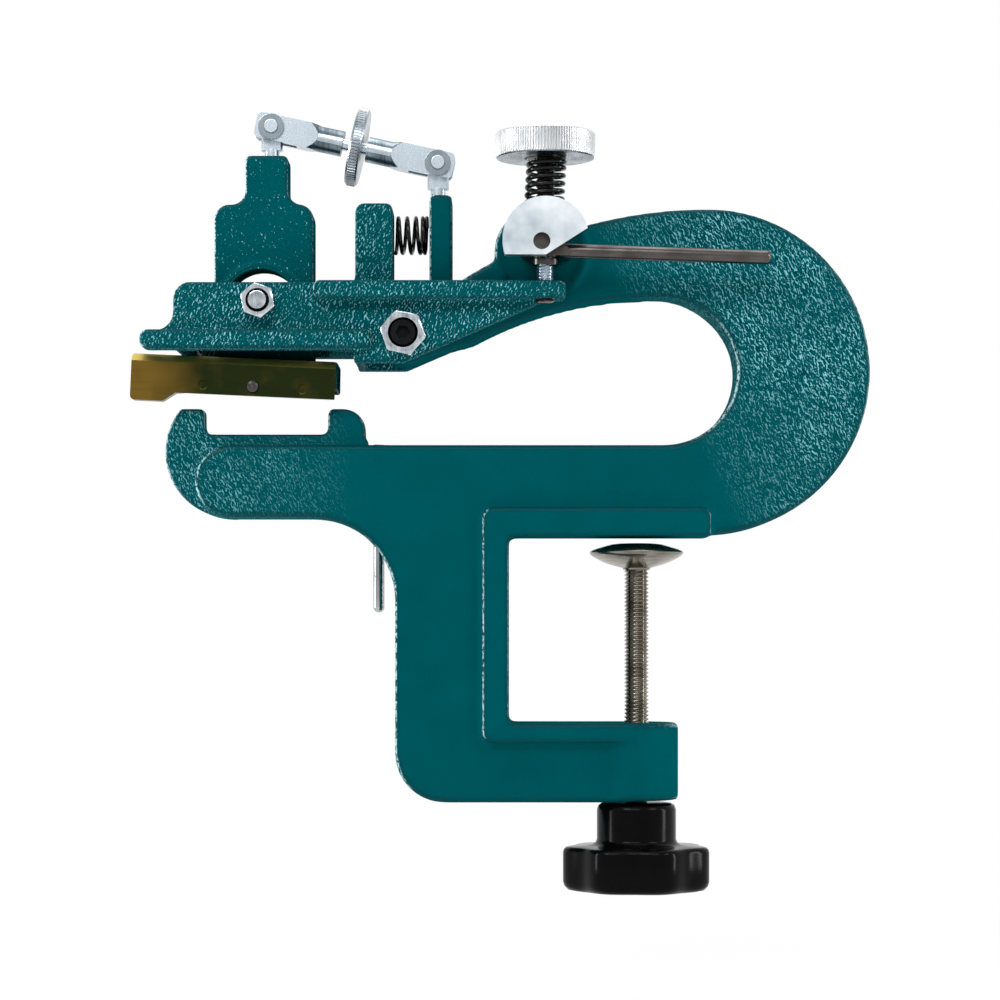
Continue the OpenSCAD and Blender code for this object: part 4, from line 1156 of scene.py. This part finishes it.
@dataclass
class RockingHead:
    """The rocking casting with its pivot and its return spring."""

    voxel_mm: float = 0.6
    passes: int = 4
    nut: Triple = (13.0, 4.05, -12.0)
    screw_edge: float = 0.3
    spring_x: Span = (-79.15, -67.45)
    spring_z: float = 98.4
    spring_r: float = 5.75
    wire: float = 1.3
    turns: float = 4.7
    closed: Span = (0.4, 1.6)
    rest_share: float = 0.76

    def build(self) -> None:
        """Rounds the casting, makes its nut and winds the spring that the link post holds."""
        casting = round_skin(copy_of("rocker_arm", "head_casting"), self.voxel_mm, self.passes)
        settle(mark_edges(casting), Body.HEAD, HEAD_ENAMEL, "rocker_arm")
        add_nut("pivot_nut", "pivot_lock_nut", Body.HEAD, self.nut)
        trim("pivot_screw", "pivot_socket_screw", self.screw_edge, Body.HEAD, OXIDE)
        foot, tip = self.spring_x
        coil = wound("head_return_coil", self.spring_r, self.wire, tip - foot, self.turns,
                     self.closed)
        lay(coil, Vector((foot, 0, self.spring_z)) * MM, RIGHT)
        settle(coil, Body.HEAD, WIRE, "return_spring")
        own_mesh(coil)


@dataclass
class BladeCarrier:
    """The bottle-shaped carrier, its hinge, the brass holder and the blade."""

    voxel_mm: float = 0.6
    passes: int = 4
    hinge: Span = (-121.8, 74.8)
    nut: Triple = (10.0, 3.05, -20.0)
    bolt_edge: float = 0.5
    crescent_r: Span = (10.3, 13.6)
    crescent_mm: float = 1.7
    crescent_low: float = 2.5
    crescent_in: float = 1.5
    edge_mm: float = 0.35
    screw_edge: float = 0.15
    bed_tilt: float = 2.6
    holder_drop: float = 30.0
    lip_front_y: float = -9.1
    lip_level: float = 0.6
    lip_rise: float = 1.2
    top_normal: float = 0.3
    foot_z: float = 60.2
    arc_radii: Span = (11.9, 0.45)
    arc_sink: float = 0.1
    arc_low: float = 6.6
    holder_front_y: float = -14.0
    plate_t: float = 1.0
    end_x: float = -100.0
    end_slope: float = 0.09

    def build(self) -> None:
        """Rounds the carrier, trims its hinge and its holder and dresses what they hold."""
        casting = round_skin(copy_of("tilt_carrier", "carrier_casting"), self.voxel_mm, self.passes)
        shape_points(casting, self.open_crescent)
        settle(mark_edges(casting), Body.CARRIER, CARRIER_ENAMEL, "tilt_carrier")
        # The carrier's foot below foot_z is painted shade.
        part_finish(casting, PAINTED_SHADE_ENAMEL, lambda at, normal: at.z < self.foot_z)
        self.build_arc()
        holder = broken_edges("blade_holder", "brass_blade_holder", self.edge_mm)
        shape_points(holder, self.thin_lip)
        shape_points(holder, self.tuck_end)
        settle(holder, Body.CARRIER, BRASS, "blade_holder")
        # The lip's top faces get a pale painted highlight.
        part_finish(holder, PAINTED_HIGHLIGHT_BRASS, lambda at, normal: (
            normal.z > self.top_normal and at.y < self.lip_front_y))
        for side in ("left", "right"):
            screw = broken_edges(f"holder_screw_{side}", f"{side}_blade_screw", self.screw_edge)
            shape_points(screw, self.thin_lip)
            settle(screw, Body.CARRIER, ZINC, f"holder_screw_{side}")
        trim("left_eye", "left_eye_stud", self.edge_mm, Body.CARRIER, ZINC)
        add_nut("tilt_nut", "hinge_nut", Body.CARRIER_HINGE, self.nut)
        trim("tilt_bolt", "hinge_bolt", self.bolt_edge, Body.CARRIER_HINGE, NUT)
        blade = copy_of("skiving_blade", "ground_skiving_blade")
        shape_points(blade, self.tuck_end)
        settle(blade, Body.CARRIER, BLADE, "skiving_blade")
        dress(BRONZE, "tilt_bush")
        dress(BRASS, "blade_set_screw_left", "blade_set_screw_right")
        dress(BARE, "blade_set_screw_mid")

    def build_arc(self) -> None:
        """Raises the fine arc that the casting has round its hinge eye, above the head's cheek."""
        x, z = self.hinge
        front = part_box("tilt_carrier")[0][1]
        arc = torus_arc("hinge_eye_arc", self.arc_radii, (144, 12),
                        Vector((x * MM, front + self.arc_sink * MM, z * MM)),
                        lambda at: at.z >= z + self.arc_low)
        isolate(arc)
        bpy.ops.object.shade_smooth()
        settle(arc, Body.CARRIER, CARRIER_ENAMEL)

    def tuck_end(self, point: Vector) -> Vector:
        """Draws the right end in towards the back: the front plate hides it in the photograph.

        Args:
            point: a point in metres.

        Returns:
            Its new place.
        """
        behind = point.y / MM - self.holder_front_y
        if point.x < self.end_x * MM or behind < self.plate_t:
            return point
        return point - RIGHT * (self.end_slope * behind * MM)

    def open_crescent(self, point: Vector) -> Vector:
        """Widens the crescent over the hinge, so that as much light shows as in the photograph.

        Args:
            point: a point in metres.

        Returns:
            Its new place.
        """
        x, z = point.x - self.hinge[0] * MM, point.z - self.hinge[1] * MM
        radius = math.hypot(x, z)
        low, high = (r * MM for r in self.crescent_r)
        if z < self.crescent_low * MM or not low - self.crescent_in * MM < radius < high:
            return point
        size = self.crescent_mm * MM * min(1.0, (high - radius) / (high - low)) / radius
        return point + Vector((x * size, 0, z * size))

    def thin_lip(self, point: Vector) -> Vector:
        """Draws the underside of the lip that carries the blade up behind the holder's front.

        Args:
            point: a point in metres.

        Returns:
            Its new place.
        """
        tilt = math.radians(self.bed_tilt)
        level = ((point.x / MM - self.hinge[0]) * math.sin(tilt)
                 + (point.z / MM - self.hinge[1]) * math.cos(tilt) + self.holder_drop)
        if point.y < self.lip_front_y * MM or level > self.lip_level:
            return point
        return point + UP * (self.lip_rise * MM)


@dataclass
class TiltLink:
    """The two forks, their pins and the knurled wheel that tilts the blade."""

    fork_edge: float = 0.4
    pin_edge: float = 0.2
    clip_edge: float = 0.15
    block_mm: float = 13.0
    front_normal: float = -0.97
    wheel_r: float = 12.74
    wheel_t: float = 3.8
    wheel_teeth: int = 75
    tooth_mm: float = 0.6
    rim_mm: float = 0.7

    def build(self) -> None:
        """Trims the forks and their pins, knurls the wheel and dresses its stud."""
        for side, body in (("right", Body.LINK_REAR), ("left", Body.LINK_FRONT)):
            fork = trim(f"{side}_fork", f"{side}_link_fork", self.fork_edge, body, ZINC)
            pin = middle(f"{side}_pin") / MM
            part_finish(fork, TURNED, lambda at, normal, pin=pin: (
                from_axis(at, pin.x, pin.z) > self.block_mm and normal.y > self.front_normal))
            trim(f"{side}_pin", f"{side}_fork_pin", self.pin_edge, body, ZINC)
            trim(f"{side}_clip", f"{side}_pin_clip", self.clip_edge, body, CLIP)
        along = (middle("left_fork") - middle("right_fork")).normalized()
        wheel = knurled("tilt_thumb_wheel", self.wheel_r, self.wheel_t, self.wheel_teeth,
                        self.tooth_mm, self.rim_mm)
        lay(wheel, middle("tilt_wheel") - along * self.wheel_t / 2 * MM, along)
        settle(wheel, Body.LINK_WHEEL, ROLLED, "tilt_wheel")
        dress(ZINC, "tilt_stud")


@dataclass
class HeightAdjuster:
    """The knurled knob on its stud, and the spring under it."""

    x: float = -30.0
    y: float = -18.2
    knob_r: float = 15.98
    knob_z: float = 120.5
    knob_t: float = 8.2
    knob_teeth: int = 112
    tooth_mm: float = 0.7
    rim_mm: float = 0.5
    cap_r: float = 6.7
    cap_t: float = 1.2
    under_normal: float = -0.5
    stud_r: float = 3.0
    pitch: float = 1.0
    stud_z: Span = (74.5, 129.0)
    bright_z: Span = (75.6, 104.0)
    spring_z: Span = (104.75, 120.4)
    spring_r: float = 5.75
    wire: float = 1.6
    turns: float = 6.2
    closed: Span = (0.6, 1.0)
    rest_share: float = 0.87
    lean: float = 0.9
    washer_edge: float = 0.2

    def build(self) -> None:
        """Knurls the knob, cuts the stud's thread and winds the spring."""
        top = self.knob_t
        knob = knurled("height_thumb_knob", self.knob_r, top, self.knob_teeth, self.tooth_mm,
                       self.rim_mm, ((self.knob_r - 1.6, top), (4.4, top), (3.6, top - 0.5)),
                       ((self.cap_r - 0.2, self.cap_t), (self.cap_r, 0.0)))
        lay(knob, self.at(self.knob_z), UP)
        settle(knob, Body.HEIGHT_SCREW, KNURL, "height_knob")
        part_finish(knob, TURNED, lambda at, normal: normal.z < self.under_normal)
        low, high = self.stud_z
        stud = threaded("height_adjust_stud", self.stud_r, self.pitch, high - low)
        lay(stud, self.at(low), UP)
        settle(stud, Body.HEIGHT_SCREW, ZINC, "height_stud")
        # Outside bright_z the stud is dark as painted shade: under the flange and inside the
        # spring.
        part_finish(stud, BARE, lambda at, normal: (
            at.z < self.bright_z[0] or at.z > self.bright_z[1]))
        foot, tip = self.spring_z
        coil = wound("height_coil", self.spring_r, self.wire, tip - foot, self.turns, self.closed,
                     self.lean)
        lay(coil, self.at(foot), UP)
        settle(coil, Body.HEAD, WIRE, "height_spring")
        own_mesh(coil)
        trim("spring_cap", "spring_cap_washer", self.washer_edge, Body.SPRING_SEAT, OXIDE)
        trim("saddle_washer", "saddle_flange_washer", self.washer_edge, Body.HEAD, OXIDE)
        dress(BARE, "stop_collar")

    def at(self, z: float) -> Vector:
        """Gives the place on the stud's axis at a height in millimetres."""
        return Vector((self.x, self.y, z)) * MM


@dataclass
class LiftCam:
    """The quick-lift cam with its lever rod."""

    edge_mm: float = 0.45
    hole: Span = (-31.0, 93.4)
    hole_r: float = 2.9
    disc_t: float = 3.2
    skin_mm: float = 0.1
    tip_mm: float = 1.2

    def build(self) -> None:
        """Breaks the cam's edges, gives its hole painted shade, makes its barrel dark and turns the
        lever.
        """
        barrel = trim("cam_barrel", "cam_disc_barrel", self.edge_mm, Body.LIFT_CAM, FACED)
        face_y = min(corner.co.y for corner in barrel.data.vertices) / MM
        # The barrel behind the disc is dark bare steel; the hole is darkened as painted shade.
        part_finish(barrel, BARE, lambda at, normal: at.y > face_y + self.disc_t or (
            at.y > face_y + self.skin_mm and from_axis(at, *self.hole) < self.hole_r))
        lever = rod_along("cam_lever", "cam_lever_rod", self.tip_mm)
        settle(lever, Body.LIFT_CAM, BARE, "cam_lever")
        dress(OXIDE, "cam_ring")


@dataclass
class Studio:
    """The pale floor, the soft lights, the white surround and the camera at the photo's angle."""

    floor_z: float = -163.0
    floor_m: float = 6.0
    floor_colour: str = "#F8F8F7"
    shadow_m: Span = (0.12, 0.5)
    shadow_white: Span = (0.7, 1.0)
    surround_front: Span = (0.08, 0.8)
    surround_y: Span = (-0.85, 0.6)
    lights_aim: Triple = (-45, 0, 30)
    camera_at: Triple = (-44.5, -947.0, -33.5)
    lens: float = 104.5
    sensor: float = 36.0
    rise: float = 0.14
    far_m: float = 20.0

    def build(self) -> None:
        """Sets the stage and the view."""
        self.build_floor()
        self.build_world()
        for name, place, size, watts in (
                ("key_softbox", (-420, -620, 560), (320, 320), 3.0),
                ("fill_softbox", (-80, -900, 700), (420, 420), 2.4),
                ("side_softbox", (520, -380, 420), (260, 260), 1.3),
                ("top_softbox", (-40, 60, 760), (520, 520), 2.0),
                ("left_strip", (-850, -60, 90), (110, 520), 2.4),
                ("right_strip", (850, -60, 90), (110, 520), 2.4)):
            self.add_light(name, place, size, watts)
        self.build_camera()
        bpy.context.scene.view_settings.view_transform = "Standard"

    def build_floor(self) -> None:
        """Lays a pale floor that looks white and keeps some of the shadow."""
        bpy.ops.mesh.primitive_plane_add(size=self.floor_m, location=(0, 0, 0))
        floor = named("pale_floor")
        floor.data.transform(Matrix.Translation((0, 0, self.floor_z * MM)))
        material = bpy.data.materials.new("pale_floor")
        graph = Graph(material)
        path = graph.add("LightPath", {}).outputs
        seen = graph.calc("MAXIMUM", path["Is Camera Ray"], path["Is Glossy Ray"])
        away = graph.add("VectorMath", {"operation": "LENGTH", 0: graph.coords()})
        white = graph.remap(away.outputs["Value"], self.shadow_m, self.shadow_white)
        matte = graph.add("BsdfDiffuse", {"Color": linear(self.floor_colour)})
        glow = graph.add("Emission", {"Color": WHITE, "Strength": 1.0})
        mixed = graph.add("MixShader", {0: graph.calc("MULTIPLY", seen, white),
                                        1: matte.outputs["BSDF"], 2: glow.outputs["Emission"]})
        graph.add("OutputMaterial", {"Surface": mixed.outputs["Shader"]})
        floor.data.materials.append(material)

    def build_world(self) -> None:
        """Makes a surround that is white to the camera and a soft studio to the object."""
        world = bpy.data.worlds.new("studio")
        bpy.context.scene.world = world
        graph = Graph(world)
        path = graph.add("LightPath", {}).outputs
        coords = graph.add("TexCoord", {}).outputs["Generated"]
        depth = graph.add("SeparateXYZ", {0: coords}).outputs["Y"]
        front = graph.remap(path["Is Glossy Ray"], end=self.surround_front)
        strength = graph.remap(depth, self.surround_y, (front, 1.0))
        soft, white = (graph.add("Background", {"Color": WHITE, "Strength": value})
                       for value in (strength, 1.0))
        mixed = graph.add("MixShader", {0: path["Is Camera Ray"], 1: soft.outputs["Background"],
                                        2: white.outputs["Background"]})
        graph.add("OutputWorld", {"Surface": mixed.outputs["Shader"]})

    def add_light(self, name: str, place: Triple, size: Span, watts: float) -> None:
        """Adds a soft light that faces the object.

        Args:
            name: the light's name.
            place: where it stands, in millimetres.
            size: its width and height in millimetres.
            watts: its power.
        """
        data = bpy.data.lights.new(name, "AREA")
        data.shape = "RECTANGLE"
        data.size, data.size_y = (side * MM for side in size)
        data.energy = watts
        light = bpy.data.objects.new(name, data)
        light.location = Vector(place) * MM
        aim = Vector(self.lights_aim) * MM - light.location
        light.rotation_euler = aim.to_track_quat("-Z", "Y").to_euler()
        bpy.context.scene.collection.objects.link(light)

    def build_camera(self) -> None:
        """Puts the camera at the photograph's angle."""
        data = bpy.data.cameras.new("photo_camera")
        data.sensor_width = self.sensor
        data.lens = self.lens
        data.shift_y = self.rise
        data.clip_end = self.far_m
        camera = bpy.data.objects.new("photo_camera", data)
        camera.location = Vector(self.camera_at) * MM
        camera.rotation_euler = (math.radians(90), 0, 0)
        bpy.context.scene.collection.objects.link(camera)
        bpy.context.scene.camera = camera


def main() -> None:
    """Builds the studio and every sub-assembly."""
    logging.basicConfig(level=logging.INFO, format="%(name)s: %(message)s")
    bpy.ops.object.select_all(action="DESELECT")
    Studio().build()
    for assembly in (ClampFrame(), BenchClamp(), RollerSet(), RockingHead(), BladeCarrier(),
                     TiltLink(), HeightAdjuster(), LiftCam()):
        assembly.build()
        LOG.info("%s is done", type(assembly).__name__)


if __name__ == "__main__":
    main()
